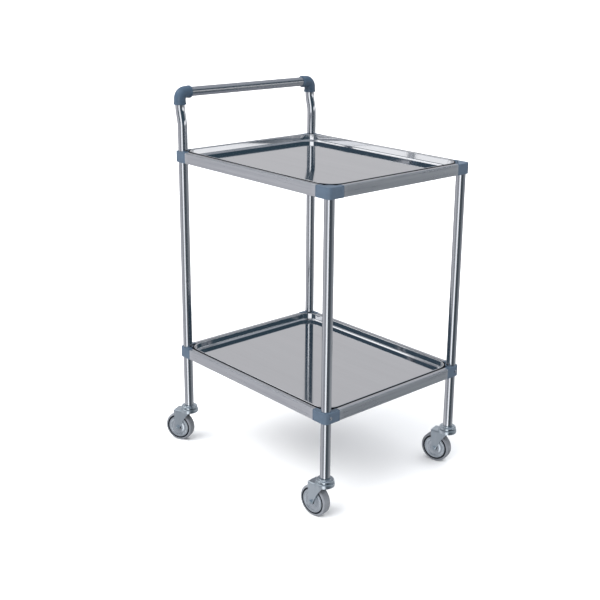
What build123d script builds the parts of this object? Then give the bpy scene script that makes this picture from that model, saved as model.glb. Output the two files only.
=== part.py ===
from build123d import *
import os
from math import atan2, cos, radians, sin, sqrt, tan

# Instrument cart: two rectangular shelf frames on four round posts, a lift-out tray in each
# frame, a push handle carried by the two rear posts, and four swivel castors.
# Millimetres. +X is the way the cart is pushed, so the handle is at -X; +Y is its left side;
# +Z is up and the floor is Z = 0. The origin is the centre of the whole cart's footprint.

# ---------------------------------------------------------------------------
# Driving dimensions
# ---------------------------------------------------------------------------

# Stance and heights
POST_PITCH_X = 560.0  # post axis to post axis, front to back
POST_PITCH_Y = 448.0  # post axis to post axis, side to side
UPPER_SHELF_TOP = 825.0  # top face of the upper rails
LOWER_SHELF_TOP = 283.0  # top face of the lower rails
HANDLE_RISE = 150.0  # upper shelf's top to the handle's axis
HANDLE_SET_BACK = 9.0  # how far the handle stands behind the rear post axes

# Round tube of the posts and the handle
TUBE_DIAMETER = 25.0
TUBE_WALL = 1.2
BEND_RADIUS = 90.0  # centre line radius of the two bends that set the handle back
BEND_RISE = 38.0  # height between the corners of those two bends

# Shelf rails, a rectangular tube
RAIL_HEIGHT = 28.0
RAIL_WIDTH = 14.0
RAIL_WALL = 1.5
RAIL_EDGE_RADIUS = 2.5

# Moulded corner blocks
FACE_WALL = 3.5  # plastic between the post and the shelf's outer face
ARM_LENGTH = 30.0  # post axis to the rail's end
CORNER_RADIUS = 12.0  # rounding of the block's outer corner
BOSS_WALL = 3.0  # plastic round the post on the inner side
CAP_THICKNESS = 3.0  # closed top of the blocks that end a post
BLOCK_EDGE = 0.8  # rounding of the block's upper and lower outline
SPIGOT_LENGTH = 22.0  # tongue of the block inside each rail
LEDGE_DEPTH = 24.5  # ledge that carries the tray, out from the boss

# Trays, pressed sheet with a rolled rim
TRAY_SHEET = 1.0
TRAY_DROP = 17.0  # rail top down to the tray's underside
TRAY_GAP = 2.0  # rail to the rolled rim
RIM_RADIUS = 2.0  # radius of the rolled rim's section
RIM_RISE = 1.5  # rim's top above the rails
CORNER_GAP = 2.2  # boss to the rim, across the corner
TRAY_BEND = 5.0  # outer radius from the floor up into the walls

# Handle elbows
ELBOW_SOCKET = 15.0  # depth of each tube's socket
ELBOW_CREASE = 0.5  # radius left on the inside of the bend
ELBOW_WALL = 3.0
ELBOW_STEP = 0.8  # how far the tubes' stop stands in from their bore
COLLAR_LENGTH = 6.0
COLLAR_RISE = 0.8
COLLAR_ROUND = 0.9  # rounding of the collar's rim, as a share of its rise

# Screws through the blocks into the posts
SCREW_DIAMETER = 4.0
SCREW_HEAD_DIAMETER = 7.5
SCREW_HEAD_HEIGHT = 2.0
SCREW_REACH = 3.0  # how far the tip stands inside the post
SCREW_CROWN = 0.6  # rounding of the head, as a share of its height
SCREW_SLOT_SPAN = 0.6  # length of the recess, as a share of the head's diameter
SCREW_SLOT_WIDTH = 1.0
SCREW_SLOT_DEPTH = 0.9

# Castors
WHEEL_DIAMETER = 80.0
TYRE_WIDTH = 24.0
TYRE_SHOULDER = 5.0
SHOULDER_SHARE = 0.9  # most of the tyre's side that its shoulder may take
TYRE_SIDE = 5.7  # tread to where the tyre's side meets the wheel's ring
TYRE_DEPTH = 8.0  # tread to the wheel's rim under the tyre
RIM_WALL = 4.0
RIM_SETBACK = 1.0  # tyre's side to the wheel's ring
RING_WIDTH = 4.2  # part of the wheel's ring that the cover disc leaves bare
WHEEL_WEB_HALF = 3.0
HUB_WALL = 5.0
GUARD_SHEET = 1.0
GUARD_RISE = 1.6  # how far the disc's middle stands proud of its edge
GUARD_FLAT = 6.6  # raised flat of the disc, out from the hub
TRAIL = 30.0  # swivel axis to wheel axle
TYRE_CLEARANCE = 9.5  # tread to the crown plate's underside
LEG_CLEARANCE = 3.0  # tyre's side to the fork's leg
FORK_SHEET = 2.5
FORK_NOSE = 8.0  # swivel axis to the fork's front edge, at the crown
FORK_TAPER = 4.0  # how much further back the crown reaches than the leg's eye
EYE_MARGIN = 2.0  # leg round the axle's head
FORK_WAIST = 3.5  # how far the leg's front edge curves in
FORK_BEND = 0.8  # rounding where the legs turn down, as a share of the sheet
TRACK_HEIGHT = 8.2  # ball track formed on the crown
TRACK_ROUND = 0.5  # rounding of the track's shoulder, as a share of its height
TRACK_STEP = 2.0  # how far the track stands out past the cup
CUP_STEP = 9.5  # how far the fixed cup stands out past the post
CUP_HEIGHT = 8.6
CUP_ROUND = 0.9  # rounding of the cup's shoulder, as a share of its height
HEAD_GAP = 1.2  # between the track and the cup
BALL_DIAMETER = 5.0
BALL_MARGIN = 5.5  # cup's wall outside the balls
BALL_COUNT = 14
STEM_DIAMETER = 10.0
STEM_GRIP = 37.0  # stem inside the post
STEM_LEAD = 1.0  # chamfer on the stem's top
STEM_HEAD_RIM = 4.0  # how far the stem's head stands out past it
STEM_HEAD_HEIGHT = 2.6
STEM_HEAD_ROUND = 0.6  # rounding of that head, as a share of its height
PLUG_LENGTH = 32.0  # insert in the post's foot that holds the stem
AXLE_DIAMETER = 6.0
HEX_RIM = 2.0  # how far the hexagons' flats stand out past the axle
AXLE_HEAD_HEIGHT = 4.0
NUT_HEIGHT = 5.0
AXLE_TIP = 1.5  # thread showing past the nut

# Which way each castor trails when the cart stands, degrees from +X
CASTOR_TURN = {
    "front_right": 186.0,
    "front_left": 195.0,
    "rear_right": 205.0,
    "rear_left": 155.0,
}

# Clearances
SLIP = 0.05  # radial, tube in socket and bolt in hole
RUNNING = 0.05  # radial, shaft turning in a bore
RACE_SLACK = 0.3  # ball to the turning track
CUP_SLACK = 0.1  # ball to the fixed cup
SPIGOT_SLACK = 0.15  # all round, spigot in rail
PART_GAP = 0.3  # between faces that turn past each other

# ---------------------------------------------------------------------------
# Values worked out from them
# ---------------------------------------------------------------------------

TUBE_RADIUS = TUBE_DIAMETER / 2
TUBE_BORE = TUBE_RADIUS - TUBE_WALL
SOCKET_RADIUS = TUBE_RADIUS + SLIP
HANDLE_AXIS_HEIGHT = UPPER_SHELF_TOP + HANDLE_RISE
ELBOW_BEND = TUBE_RADIUS + ELBOW_WALL + ELBOW_CREASE
ELBOW_LEG = ELBOW_BEND + ELBOW_SOCKET
ELBOW_BORE = TUBE_BORE - ELBOW_STEP

# Corner blocks and trays
FACE_OFFSET = TUBE_RADIUS + FACE_WALL
BOSS_RADIUS = TUBE_RADIUS + BOSS_WALL
LEDGE_REACH = BOSS_RADIUS + LEDGE_DEPTH
RIM_INSET = RAIL_WIDTH + TRAY_GAP - FACE_OFFSET
TRAY_CORNER = (BOSS_RADIUS + CORNER_GAP - RIM_INSET * sqrt(2)) / (sqrt(2) - 1)

# Castors, from the axle outwards and from the floor up
WHEEL_RADIUS = WHEEL_DIAMETER / 2
TYRE_SIDE_RADIUS = WHEEL_RADIUS - TYRE_SIDE
WHEEL_SEAT_RADIUS = WHEEL_RADIUS - TYRE_DEPTH
WHEEL_BORE_RADIUS = WHEEL_SEAT_RADIUS - RIM_WALL
WHEEL_RIM_HALF = TYRE_WIDTH / 2 - RIM_SETBACK
GUARD_RADIUS = TYRE_SIDE_RADIUS - RING_WIDTH
HUB_RADIUS = AXLE_DIAMETER / 2 + HUB_WALL
GUARD_FLAT_RADIUS = HUB_RADIUS + GUARD_FLAT
HEX_FLATS = AXLE_DIAMETER + 2 * HEX_RIM
LEG_INSIDE = TYRE_WIDTH / 2 + LEG_CLEARANCE
FORK_HALF = LEG_INSIDE + FORK_SHEET
FORK_EYE_RADIUS = HEX_FLATS / 2 + EYE_MARGIN
FORK_TAIL = FORK_EYE_RADIUS + FORK_TAPER
CUP_RADIUS = TUBE_RADIUS + CUP_STEP
RACE_RADIUS = CUP_RADIUS + TRACK_STEP
BALL_CIRCLE_RADIUS = CUP_RADIUS - BALL_MARGIN - BALL_DIAMETER / 2
CROWN_HEIGHT = WHEEL_DIAMETER + TYRE_CLEARANCE + FORK_SHEET
RACE_TOP = CROWN_HEIGHT + TRACK_HEIGHT
BALL_HEIGHT = RACE_TOP + HEAD_GAP / 2
CUP_BASE = RACE_TOP + HEAD_GAP
POST_FOOT = CUP_BASE + CUP_HEIGHT
STEM_TOP = POST_FOOT + STEM_GRIP

# The rear castors trail past the handle, so the posts stand forward of the footprint's centre.
rear_turn = radians(CASTOR_TURN["rear_right"])
REAR_REACH = abs(cos(rear_turn)) * (TRAIL + WHEEL_RADIUS) + abs(sin(rear_turn)) * TYRE_WIDTH / 2
POSTS_CENTRE_X = (REAR_REACH - RACE_RADIUS) / 2
FRONT_X = POSTS_CENTRE_X + POST_PITCH_X / 2
REAR_X = POSTS_CENTRE_X - POST_PITCH_X / 2
SIDE_Y = POST_PITCH_Y / 2
HANDLE_X = REAR_X - HANDLE_SET_BACK

# Each corner: post axis, and the direction of its first arm; the second arm is a quarter turn on.
CORNERS = {
    "front_right": (FRONT_X, -SIDE_Y, (0, 1, 0)),
    "front_left": (FRONT_X, SIDE_Y, (-1, 0, 0)),
    "rear_right": (REAR_X, -SIDE_Y, (1, 0, 0)),
    "rear_left": (REAR_X, SIDE_Y, (0, -1, 0)),
}
SHELVES = {"upper": UPPER_SHELF_TOP, "lower": LOWER_SHELF_TOP}

os.makedirs("parts", exist_ok=True)


def save(piece, name):
    """Labels one finished piece and writes it under its node's name."""
    piece.part.label = name
    export_step(piece.part, f"parts/{name}.step")


def is_capped(shelf, corner):
    """The front posts end inside the upper blocks; every other block lets its post through."""
    return shelf == "upper" and corner.startswith("front")


def rear_end(corner):
    """True at the handle end."""
    return corner.startswith("rear")


def upright(x, y, turn):
    """Plane of a turned section: local X runs out along turn degrees, local Y is up."""
    angle = radians(turn)
    return Plane(
        origin=(x, y, 0),
        x_dir=(cos(angle), sin(angle), 0),
        z_dir=(sin(angle), -cos(angle), 0),
    )


# ---------------------------------------------------------------------------
# Posts and handle
# ---------------------------------------------------------------------------


def screw_axis(corner, shelf_top):
    """Plane on a block's outer X face at a screw: local Z points into the post."""
    x, y, _ = CORNERS[corner]
    side = -1 if rear_end(corner) else 1
    face_x = x + side * FACE_OFFSET
    return Plane(origin=(face_x, y, shelf_top - RAIL_HEIGHT / 2), z_dir=(-side, 0, 0))


def screw_holes(corner):
    """Takes the screw holes out of the post that is being built."""
    for shelf, top in SHELVES.items():
        if not is_capped(shelf, corner):
            with BuildSketch(screw_axis(corner, top)) as hole:
                Circle(SCREW_DIAMETER / 2 + SLIP)
            extrude(hole.sketch, amount=FACE_OFFSET, mode=Mode.SUBTRACT)


def tube_section(plane):
    """Ring section of the round tube on a plane."""
    with BuildSketch(plane) as section:
        Circle(TUBE_RADIUS)
        Circle(TUBE_BORE, mode=Mode.SUBTRACT)
    return section.sketch


def front_post(corner):
    """Straight tube from its castor up into the cap of the upper block."""
    x, y, _ = CORNERS[corner]
    top = UPPER_SHELF_TOP - CAP_THICKNESS
    with BuildPart() as post:
        extrude(tube_section(Plane((x, y, POST_FOOT))), amount=top - POST_FOOT)
        screw_holes(corner)
    save(post, f"{corner}_post")


def rear_post(corner):
    """Tube that passes both shelves, sets back in two bends and ends in a handle elbow."""
    x, y, _ = CORNERS[corner]
    lean = atan2(HANDLE_SET_BACK, BEND_RISE)
    bend_tangent = BEND_RADIUS * tan(lean / 2)
    end = HANDLE_AXIS_HEIGHT - ELBOW_BEND
    upper_corner = HANDLE_AXIS_HEIGHT - ELBOW_LEG - bend_tangent
    with BuildPart() as post:
        with BuildLine() as route:
            FilletPolyline(
                (x, y, POST_FOOT),
                (x, y, upper_corner - BEND_RISE),
                (HANDLE_X, y, upper_corner),
                (HANDLE_X, y, end),
                radius=BEND_RADIUS,
            )
        sweep(tube_section(Plane((x, y, POST_FOOT))), path=route.line)
        screw_holes(corner)
    save(post, f"{corner}_post")


def handle_tube():
    """Straight grip tube between the two elbows."""
    half = SIDE_Y - ELBOW_BEND
    end = Plane(origin=(HANDLE_X, -half, HANDLE_AXIS_HEIGHT), z_dir=(0, 1, 0))
    with BuildPart() as tube:
        extrude(tube_section(end), amount=2 * half)
    save(tube, "handle_tube")


def handle_elbow(corner):
    """Moulded elbow: a socket for the post, a socket for the grip tube and a collar on each."""
    _, y, _ = CORNERS[corner]
    inward = -1 if y > 0 else 1
    low = (HANDLE_X, y, HANDLE_AXIS_HEIGHT - ELBOW_LEG)
    side = (HANDLE_X, y + inward * ELBOW_LEG, HANDLE_AXIS_HEIGHT)
    mouths = (Plane(low), Plane(origin=side, z_dir=(0, -inward, 0)))
    shell_radius = TUBE_RADIUS + ELBOW_WALL
    with BuildPart() as elbow:
        with BuildLine() as route:
            FilletPolyline(low, (HANDLE_X, y, HANDLE_AXIS_HEIGHT), side, radius=ELBOW_BEND)
        with BuildSketch(mouths[0]):
            Circle(shell_radius)
        sweep(path=route.line)
        for mouth in mouths:
            with BuildSketch(mouth):
                Circle(shell_radius + COLLAR_RISE)
            extrude(amount=COLLAR_LENGTH)
        rims = elbow.edges().filter_by(GeomType.CIRCLE).filter_by(
            lambda edge: abs(edge.radius - shell_radius - COLLAR_RISE) < SLIP
        )
        fillet(rims, COLLAR_RISE * COLLAR_ROUND)
        with BuildSketch(mouths[0]):
            Circle(ELBOW_BORE)
        sweep(path=route.line, mode=Mode.SUBTRACT)
        for mouth in mouths:
            with BuildSketch(mouth):
                Circle(SOCKET_RADIUS)
            extrude(amount=ELBOW_LEG - ELBOW_BEND, mode=Mode.SUBTRACT)
    save(elbow, f"handle_elbow_{corner.split('_')[1]}")


# ---------------------------------------------------------------------------
# Shelf frames
# ---------------------------------------------------------------------------


def rail(shelf, place, start, direction, length):
    """Rectangular tube, closed on all four sides, from one block to the next."""
    plane = Plane(origin=start, x_dir=(0, 0, 1), z_dir=direction)
    with BuildPart() as tube:
        with BuildSketch(plane):
            RectangleRounded(RAIL_HEIGHT, RAIL_WIDTH, RAIL_EDGE_RADIUS)
            RectangleRounded(
                RAIL_HEIGHT - 2 * RAIL_WALL,
                RAIL_WIDTH - 2 * RAIL_WALL,
                RAIL_EDGE_RADIUS - RAIL_WALL,
                mode=Mode.SUBTRACT,
            )
        extrude(amount=length)
    save(tube, f"{shelf}_{place}_rail")


def shelf_rails(shelf, top):
    """The four rails of one shelf."""
    middle = top - RAIL_HEIGHT / 2
    out = FACE_OFFSET - RAIL_WIDTH / 2
    long_start = REAR_X + ARM_LENGTH
    long_length = POST_PITCH_X - 2 * ARM_LENGTH
    cross_start = -SIDE_Y + ARM_LENGTH
    cross_length = POST_PITCH_Y - 2 * ARM_LENGTH
    rail(shelf, "right", (long_start, -SIDE_Y - out, middle), (1, 0, 0), long_length)
    rail(shelf, "left", (long_start, SIDE_Y + out, middle), (1, 0, 0), long_length)
    rail(shelf, "front", (FRONT_X + out, cross_start, middle), (0, 1, 0), cross_length)
    rail(shelf, "rear", (REAR_X - out, cross_start, middle), (0, 1, 0), cross_length)


def corner_block(shelf, top, corner):
    """L-shaped moulding with a post socket, a spigot for each rail and a ledge for the tray."""
    x, y, arm = CORNERS[corner]
    base = Plane(origin=(x, y, top - RAIL_HEIGHT), x_dir=arm, z_dir=(0, 0, 1))
    arm_span = ARM_LENGTH + FACE_OFFSET
    arm_centre = (ARM_LENGTH - FACE_OFFSET) / 2
    arm_axis = RAIL_WIDTH / 2 - FACE_OFFSET
    inner_face = RAIL_WIDTH - FACE_OFFSET
    with BuildPart() as block:
        with BuildSketch(base) as outline:
            with Locations((arm_centre, arm_axis)):
                Rectangle(arm_span, RAIL_WIDTH)
            with Locations((arm_axis, arm_centre)):
                Rectangle(RAIL_WIDTH, arm_span)
            Circle(BOSS_RADIUS)
            outer = outline.vertices().sort_by_distance((-FACE_OFFSET, -FACE_OFFSET, 0))
            fillet(outer[0], CORNER_RADIUS)
        extrude(amount=RAIL_HEIGHT)
        lips = block.edges().filter_by(Plane.XY)
        fillet(lips.filter_by(lambda edge: on_outline(edge, base)), BLOCK_EDGE)
        with BuildSketch(base):
            with Locations((inner_face, inner_face)):
                Rectangle(
                    LEDGE_REACH - inner_face,
                    LEDGE_REACH - inner_face,
                    align=(Align.MIN, Align.MIN),
                )
            Circle(LEDGE_REACH, mode=Mode.INTERSECT)
        extrude(amount=RAIL_HEIGHT - TRAY_DROP)
        for along, across in ((ARM_LENGTH, arm_axis), (arm_axis, ARM_LENGTH)):
            along_x = along > across
            spigot_plane = Plane(
                base.from_local_coords(Vector(along, across, RAIL_HEIGHT / 2)),
                x_dir=(0, 0, 1),
                z_dir=base.x_dir if along_x else base.y_dir,
            )
            with BuildSketch(spigot_plane):
                RectangleRounded(
                    RAIL_HEIGHT - 2 * (RAIL_WALL + SPIGOT_SLACK),
                    RAIL_WIDTH - 2 * (RAIL_WALL + SPIGOT_SLACK),
                    RAIL_EDGE_RADIUS - RAIL_WALL,
                )
            extrude(amount=SPIGOT_LENGTH)
        with BuildSketch(base):
            Circle(SOCKET_RADIUS)
        depth = RAIL_HEIGHT - CAP_THICKNESS if is_capped(shelf, corner) else RAIL_HEIGHT
        extrude(amount=depth, mode=Mode.SUBTRACT)
        if not is_capped(shelf, corner):
            with BuildSketch(screw_axis(corner, top)):
                Circle(SCREW_DIAMETER / 2 + SLIP)
            extrude(amount=FACE_OFFSET, mode=Mode.SUBTRACT)
    save(block, f"{shelf}_{corner}_block")


def on_outline(edge, base):
    """True for the block's outer and end edges, which are rounded; not for its inner side."""
    spot = base.to_local_coords(edge.center())
    return min(spot.X, spot.Y) < -FACE_OFFSET + CORNER_RADIUS / 2


def tray(shelf, top):
    """Pressed tray: flat floor, upright walls, round corners and a rim rolled outward."""
    rim_length = POST_PITCH_X - 2 * RIM_INSET
    rim_width = POST_PITCH_Y - 2 * RIM_INSET
    wall_inset = 2 * RIM_RADIUS - TRAY_SHEET
    rim_height = top + RIM_RISE - RIM_RADIUS
    with BuildPart() as pan:
        with BuildSketch(Plane((POSTS_CENTRE_X, 0, top - TRAY_DROP))):
            RectangleRounded(
                rim_length - 2 * wall_inset,
                rim_width - 2 * wall_inset,
                TRAY_CORNER - wall_inset,
            )
        extrude(amount=TRAY_DROP - top + rim_height)
        fillet(pan.faces().sort_by(Axis.Z)[0].edges(), TRAY_BEND)
        offset(amount=-TRAY_SHEET, openings=pan.faces().sort_by(Axis.Z)[-1])
        half_length = rim_length / 2 - RIM_RADIUS
        half_width = rim_width / 2 - RIM_RADIUS
        with BuildLine(Plane((POSTS_CENTRE_X, 0, rim_height))) as rim_line:
            FilletPolyline(
                (-half_length, -half_width),
                (half_length, -half_width),
                (half_length, half_width),
                (-half_length, half_width),
                radius=TRAY_CORNER - RIM_RADIUS,
                close=True,
            )
        start = Plane(origin=rim_line.line @ 0, z_dir=rim_line.line % 0)
        with BuildSketch(start):
            Circle(RIM_RADIUS)
        sweep(path=rim_line.line)
    save(pan, f"{shelf}_tray")


def corner_screws():
    """Pan-head screws that pin every through block to its post, one group of separate solids."""
    with BuildPart() as screws:
        for shelf, top in SHELVES.items():
            for corner in CORNERS:
                if is_capped(shelf, corner):
                    continue
                seat = screw_axis(corner, top)
                with BuildSketch(seat):
                    Circle(SCREW_DIAMETER / 2)
                extrude(amount=FACE_OFFSET - TUBE_BORE + SCREW_REACH)
                with BuildSketch(seat):
                    Circle(SCREW_HEAD_DIAMETER / 2)
                extrude(amount=-SCREW_HEAD_HEIGHT)
                crown_plane = seat.offset(-SCREW_HEAD_HEIGHT)
                crown = screws.faces().sort_by_distance(crown_plane.origin)[0]
                fillet(crown.edges(), SCREW_HEAD_HEIGHT * SCREW_CROWN)
                with BuildSketch(crown_plane):
                    SlotOverall(SCREW_HEAD_DIAMETER * SCREW_SLOT_SPAN, SCREW_SLOT_WIDTH)
                    SlotOverall(
                        SCREW_HEAD_DIAMETER * SCREW_SLOT_SPAN, SCREW_SLOT_WIDTH, rotation=90
                    )
                extrude(amount=SCREW_SLOT_DEPTH, mode=Mode.SUBTRACT)
    save(screws, "corner_screws")


# ---------------------------------------------------------------------------
# Castors
# ---------------------------------------------------------------------------


def post_plugs():
    """Insert in each post's foot that grips the castor stem, one group of separate solids."""
    with BuildPart() as plugs:
        for x, y, _ in CORNERS.values():
            with BuildSketch(Plane((x, y, POST_FOOT))):
                Circle(TUBE_BORE - SLIP)
                Circle(STEM_DIAMETER / 2 + SLIP, mode=Mode.SUBTRACT)
            extrude(amount=PLUG_LENGTH)
    save(plugs, "post_plugs")


def castor_balls():
    """Ring of balls in each swivel head, one group of separate solids."""
    with BuildPart() as balls:
        for x, y, _ in CORNERS.values():
            with Locations((x, y, BALL_HEIGHT)):
                with PolarLocations(BALL_CIRCLE_RADIUS, BALL_COUNT):
                    Sphere(BALL_DIAMETER / 2)
    save(balls, "castor_balls")


def castor_stem(corner):
    """Kingpin: a headed pin from under the crown up into the post's plug."""
    x, y, _ = CORNERS[corner]
    head_top = CROWN_HEIGHT - FORK_SHEET - PART_GAP
    with BuildPart() as stem:
        with BuildSketch(Plane((x, y, head_top - STEM_HEAD_HEIGHT))):
            Circle(STEM_DIAMETER / 2 + STEM_HEAD_RIM)
        extrude(amount=STEM_HEAD_HEIGHT)
        fillet(stem.edges().sort_by(Axis.Z)[0], STEM_HEAD_HEIGHT * STEM_HEAD_ROUND)
        with BuildSketch(Plane((x, y, head_top))):
            Circle(STEM_DIAMETER / 2)
        extrude(amount=STEM_TOP - head_top)
        chamfer(stem.edges().sort_by(Axis.Z)[-1], STEM_LEAD)
    save(stem, f"{corner}_castor_stem")


def castor_cup(corner):
    """Fixed upper ball cup, clamped under the post's foot."""
    x, y, _ = CORNERS[corner]
    with BuildPart() as cup:
        with BuildSketch(upright(x, y, 0)) as profile:
            with Locations((STEM_DIAMETER / 2 + SLIP, CUP_BASE)):
                Rectangle(
                    CUP_RADIUS - STEM_DIAMETER / 2 - SLIP,
                    CUP_HEIGHT,
                    align=(Align.MIN, Align.MIN),
                )
            outer = profile.vertices().sort_by_distance((CUP_RADIUS, POST_FOOT, 0))
            fillet(outer[0], CUP_HEIGHT * CUP_ROUND)
            with Locations((BALL_CIRCLE_RADIUS, BALL_HEIGHT)):
                Circle(BALL_DIAMETER / 2 + CUP_SLACK, mode=Mode.SUBTRACT)
        revolve(axis=Axis((x, y, 0), (0, 0, 1)))
    save(cup, f"{corner}_castor_cup")


def castor_fork(corner):
    """Pressed fork: ball track, crown plate and two legs that carry the axle."""
    x, y, _ = CORNERS[corner]
    turn = CASTOR_TURN[corner]
    side_view = upright(x, y, turn)
    underside = CROWN_HEIGHT - FORK_SHEET
    crown = Plane(origin=(x, y, underside), x_dir=side_view.x_dir, z_dir=(0, 0, 1))
    tail = TRAIL + FORK_TAIL
    with BuildPart() as fork:
        with BuildSketch(crown):
            Circle(RACE_RADIUS)
            with Locations((tail / 2, 0)):
                Rectangle(tail, 2 * FORK_HALF)
        extrude(amount=FORK_SHEET)
        for inner in (LEG_INSIDE, -FORK_HALF):
            with BuildSketch(side_view.offset(inner)):
                with BuildLine():
                    Polyline(
                        (-FORK_NOSE, underside),
                        (-FORK_NOSE, CROWN_HEIGHT),
                        (tail, CROWN_HEIGHT),
                        (tail, underside),
                        (TRAIL + FORK_EYE_RADIUS, WHEEL_RADIUS),
                    )
                    ThreePointArc(
                        (TRAIL + FORK_EYE_RADIUS, WHEEL_RADIUS),
                        (TRAIL, WHEEL_RADIUS - FORK_EYE_RADIUS),
                        (TRAIL - FORK_EYE_RADIUS, WHEEL_RADIUS),
                    )
                    leg_front_edge(underside)
                make_face()
            extrude(amount=FORK_SHEET)
        bends = fork.edges().filter_by(lambda edge: is_leg_bend(edge, crown))
        fillet(bends, FORK_SHEET * FORK_BEND)
        with BuildSketch(side_view) as track:
            with Locations((STEM_DIAMETER / 2, CROWN_HEIGHT)):
                Rectangle(
                    RACE_RADIUS - STEM_DIAMETER / 2,
                    TRACK_HEIGHT,
                    align=(Align.MIN, Align.MIN),
                )
            shoulder = track.vertices().sort_by_distance((RACE_RADIUS, RACE_TOP, 0))
            fillet(shoulder[0], TRACK_HEIGHT * TRACK_ROUND)
            with Locations((BALL_CIRCLE_RADIUS, BALL_HEIGHT)):
                Circle(BALL_DIAMETER / 2 + RACE_SLACK, mode=Mode.SUBTRACT)
        revolve(axis=Axis((x, y, 0), (0, 0, 1)))
        with BuildSketch(crown):
            Circle(STEM_DIAMETER / 2 + RUNNING)
        extrude(amount=RACE_TOP - underside, mode=Mode.SUBTRACT)
        with BuildSketch(side_view.offset(-FORK_HALF)):
            with Locations((TRAIL, WHEEL_RADIUS)):
                Circle(AXLE_DIAMETER / 2 + SLIP)
        extrude(amount=2 * FORK_HALF, mode=Mode.SUBTRACT)
    save(fork, f"{corner}_castor_fork")


def leg_front_edge(underside):
    """Curved front edge of a fork leg, from the eye up to the crown."""
    low = Vector(TRAIL - FORK_EYE_RADIUS, WHEEL_RADIUS)
    high = Vector(-FORK_NOSE, underside)
    run = high - low
    inward = Vector(run.Y, -run.X).normalized() * FORK_WAIST
    ThreePointArc(low, (low + high) / 2 + inward, high)


def is_leg_bend(edge, crown):
    """True for the two long outer edges where the legs turn down from the crown plate."""
    spot = crown.to_local_coords(edge.center())
    on_top = abs(spot.Z - FORK_SHEET) < SLIP
    return on_top and abs(abs(spot.Y) - FORK_HALF) < SLIP


def across_axle(corner, offset_out):
    """Plane square to the axle, offset_out along it from the wheel's middle."""
    x, y, _ = CORNERS[corner]
    side_view = upright(x, y, CASTOR_TURN[corner])
    centre = side_view.from_local_coords(Vector(TRAIL, WHEEL_RADIUS, offset_out))
    return Plane(origin=centre, x_dir=side_view.x_dir, z_dir=side_view.z_dir)


def castor_axle(corner):
    """Axle bolt through both legs, head on the one side and thread past the nut."""
    with BuildPart() as axle:
        with BuildSketch(across_axle(corner, FORK_HALF)):
            RegularPolygon(HEX_FLATS / 2, 6, major_radius=False)
        extrude(amount=AXLE_HEAD_HEIGHT)
        with BuildSketch(across_axle(corner, FORK_HALF)):
            Circle(AXLE_DIAMETER / 2)
        extrude(amount=-(2 * FORK_HALF + NUT_HEIGHT + AXLE_TIP))
    save(axle, f"{corner}_castor_axle")


def castor_nut(corner):
    """Nut on the axle's far end."""
    with BuildPart() as nut:
        with BuildSketch(across_axle(corner, -FORK_HALF)):
            RegularPolygon(HEX_FLATS / 2, 6, major_radius=False)
            Circle(AXLE_DIAMETER / 2 + SLIP, mode=Mode.SUBTRACT)
        extrude(amount=-NUT_HEIGHT)
    save(nut, f"{corner}_castor_nut")


def wheel_section(corner):
    """Plane of the wheel's half section, local X out from the axle, local Y along it."""
    middle = across_axle(corner, 0)
    return Plane(origin=middle.origin, x_dir=middle.x_dir, z_dir=-middle.y_dir)


def spin_axis(corner):
    """Axis that the wheel turns on."""
    middle = across_axle(corner, 0)
    return Axis(middle.origin, middle.z_dir)


def castor_wheel(corner):
    """Wheel body: hub that runs on the axle, thin web and the rim under the tyre."""
    hub_half = LEG_INSIDE - PART_GAP
    bore = AXLE_DIAMETER / 2 + RUNNING
    flange = RIM_SETBACK + GUARD_SHEET
    with BuildPart() as wheel:
        with BuildSketch(wheel_section(corner)):
            with BuildLine():
                Polyline(
                    (bore, 0),
                    (bore, hub_half),
                    (HUB_RADIUS, hub_half),
                    (HUB_RADIUS, WHEEL_WEB_HALF),
                    (WHEEL_BORE_RADIUS, WHEEL_WEB_HALF),
                    (WHEEL_BORE_RADIUS, WHEEL_RIM_HALF),
                    (TYRE_SIDE_RADIUS, WHEEL_RIM_HALF),
                    (TYRE_SIDE_RADIUS, WHEEL_RIM_HALF - flange),
                    (WHEEL_SEAT_RADIUS, WHEEL_RIM_HALF - flange),
                    (WHEEL_SEAT_RADIUS, 0),
                    close=True,
                )
            make_face()
            mirror(about=Plane.XZ)
        revolve(axis=spin_axis(corner))
    save(wheel, f"{corner}_castor_wheel")


def castor_tyre(corner):
    """Rubber tyre with a crowned tread and round shoulders, keyed over the wheel's rim."""
    half = TYRE_WIDTH / 2
    groove = WHEEL_RIM_HALF - RIM_SETBACK - GUARD_SHEET - SLIP
    seat = WHEEL_SEAT_RADIUS + SLIP
    side = TYRE_SIDE_RADIUS + SLIP
    shoulder = min(TYRE_SHOULDER, (WHEEL_RADIUS - side) * SHOULDER_SHARE)
    diagonal = shoulder * (1 - cos(radians(45)))
    with BuildPart() as tyre:
        with BuildSketch(wheel_section(corner)):
            with BuildLine():
                Polyline(
                    (WHEEL_RADIUS, 0),
                    (seat, 0),
                    (seat, groove),
                    (side, groove),
                    (side, half),
                    (WHEEL_RADIUS - shoulder, half),
                )
                ThreePointArc(
                    (WHEEL_RADIUS - shoulder, half),
                    (WHEEL_RADIUS - diagonal, half - diagonal),
                    (WHEEL_RADIUS, half - shoulder),
                )
                Line((WHEEL_RADIUS, half - shoulder), (WHEEL_RADIUS, 0))
            make_face()
            mirror(about=Plane.XZ)
        revolve(axis=spin_axis(corner))
    save(tyre, f"{corner}_castor_tyre")


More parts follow.
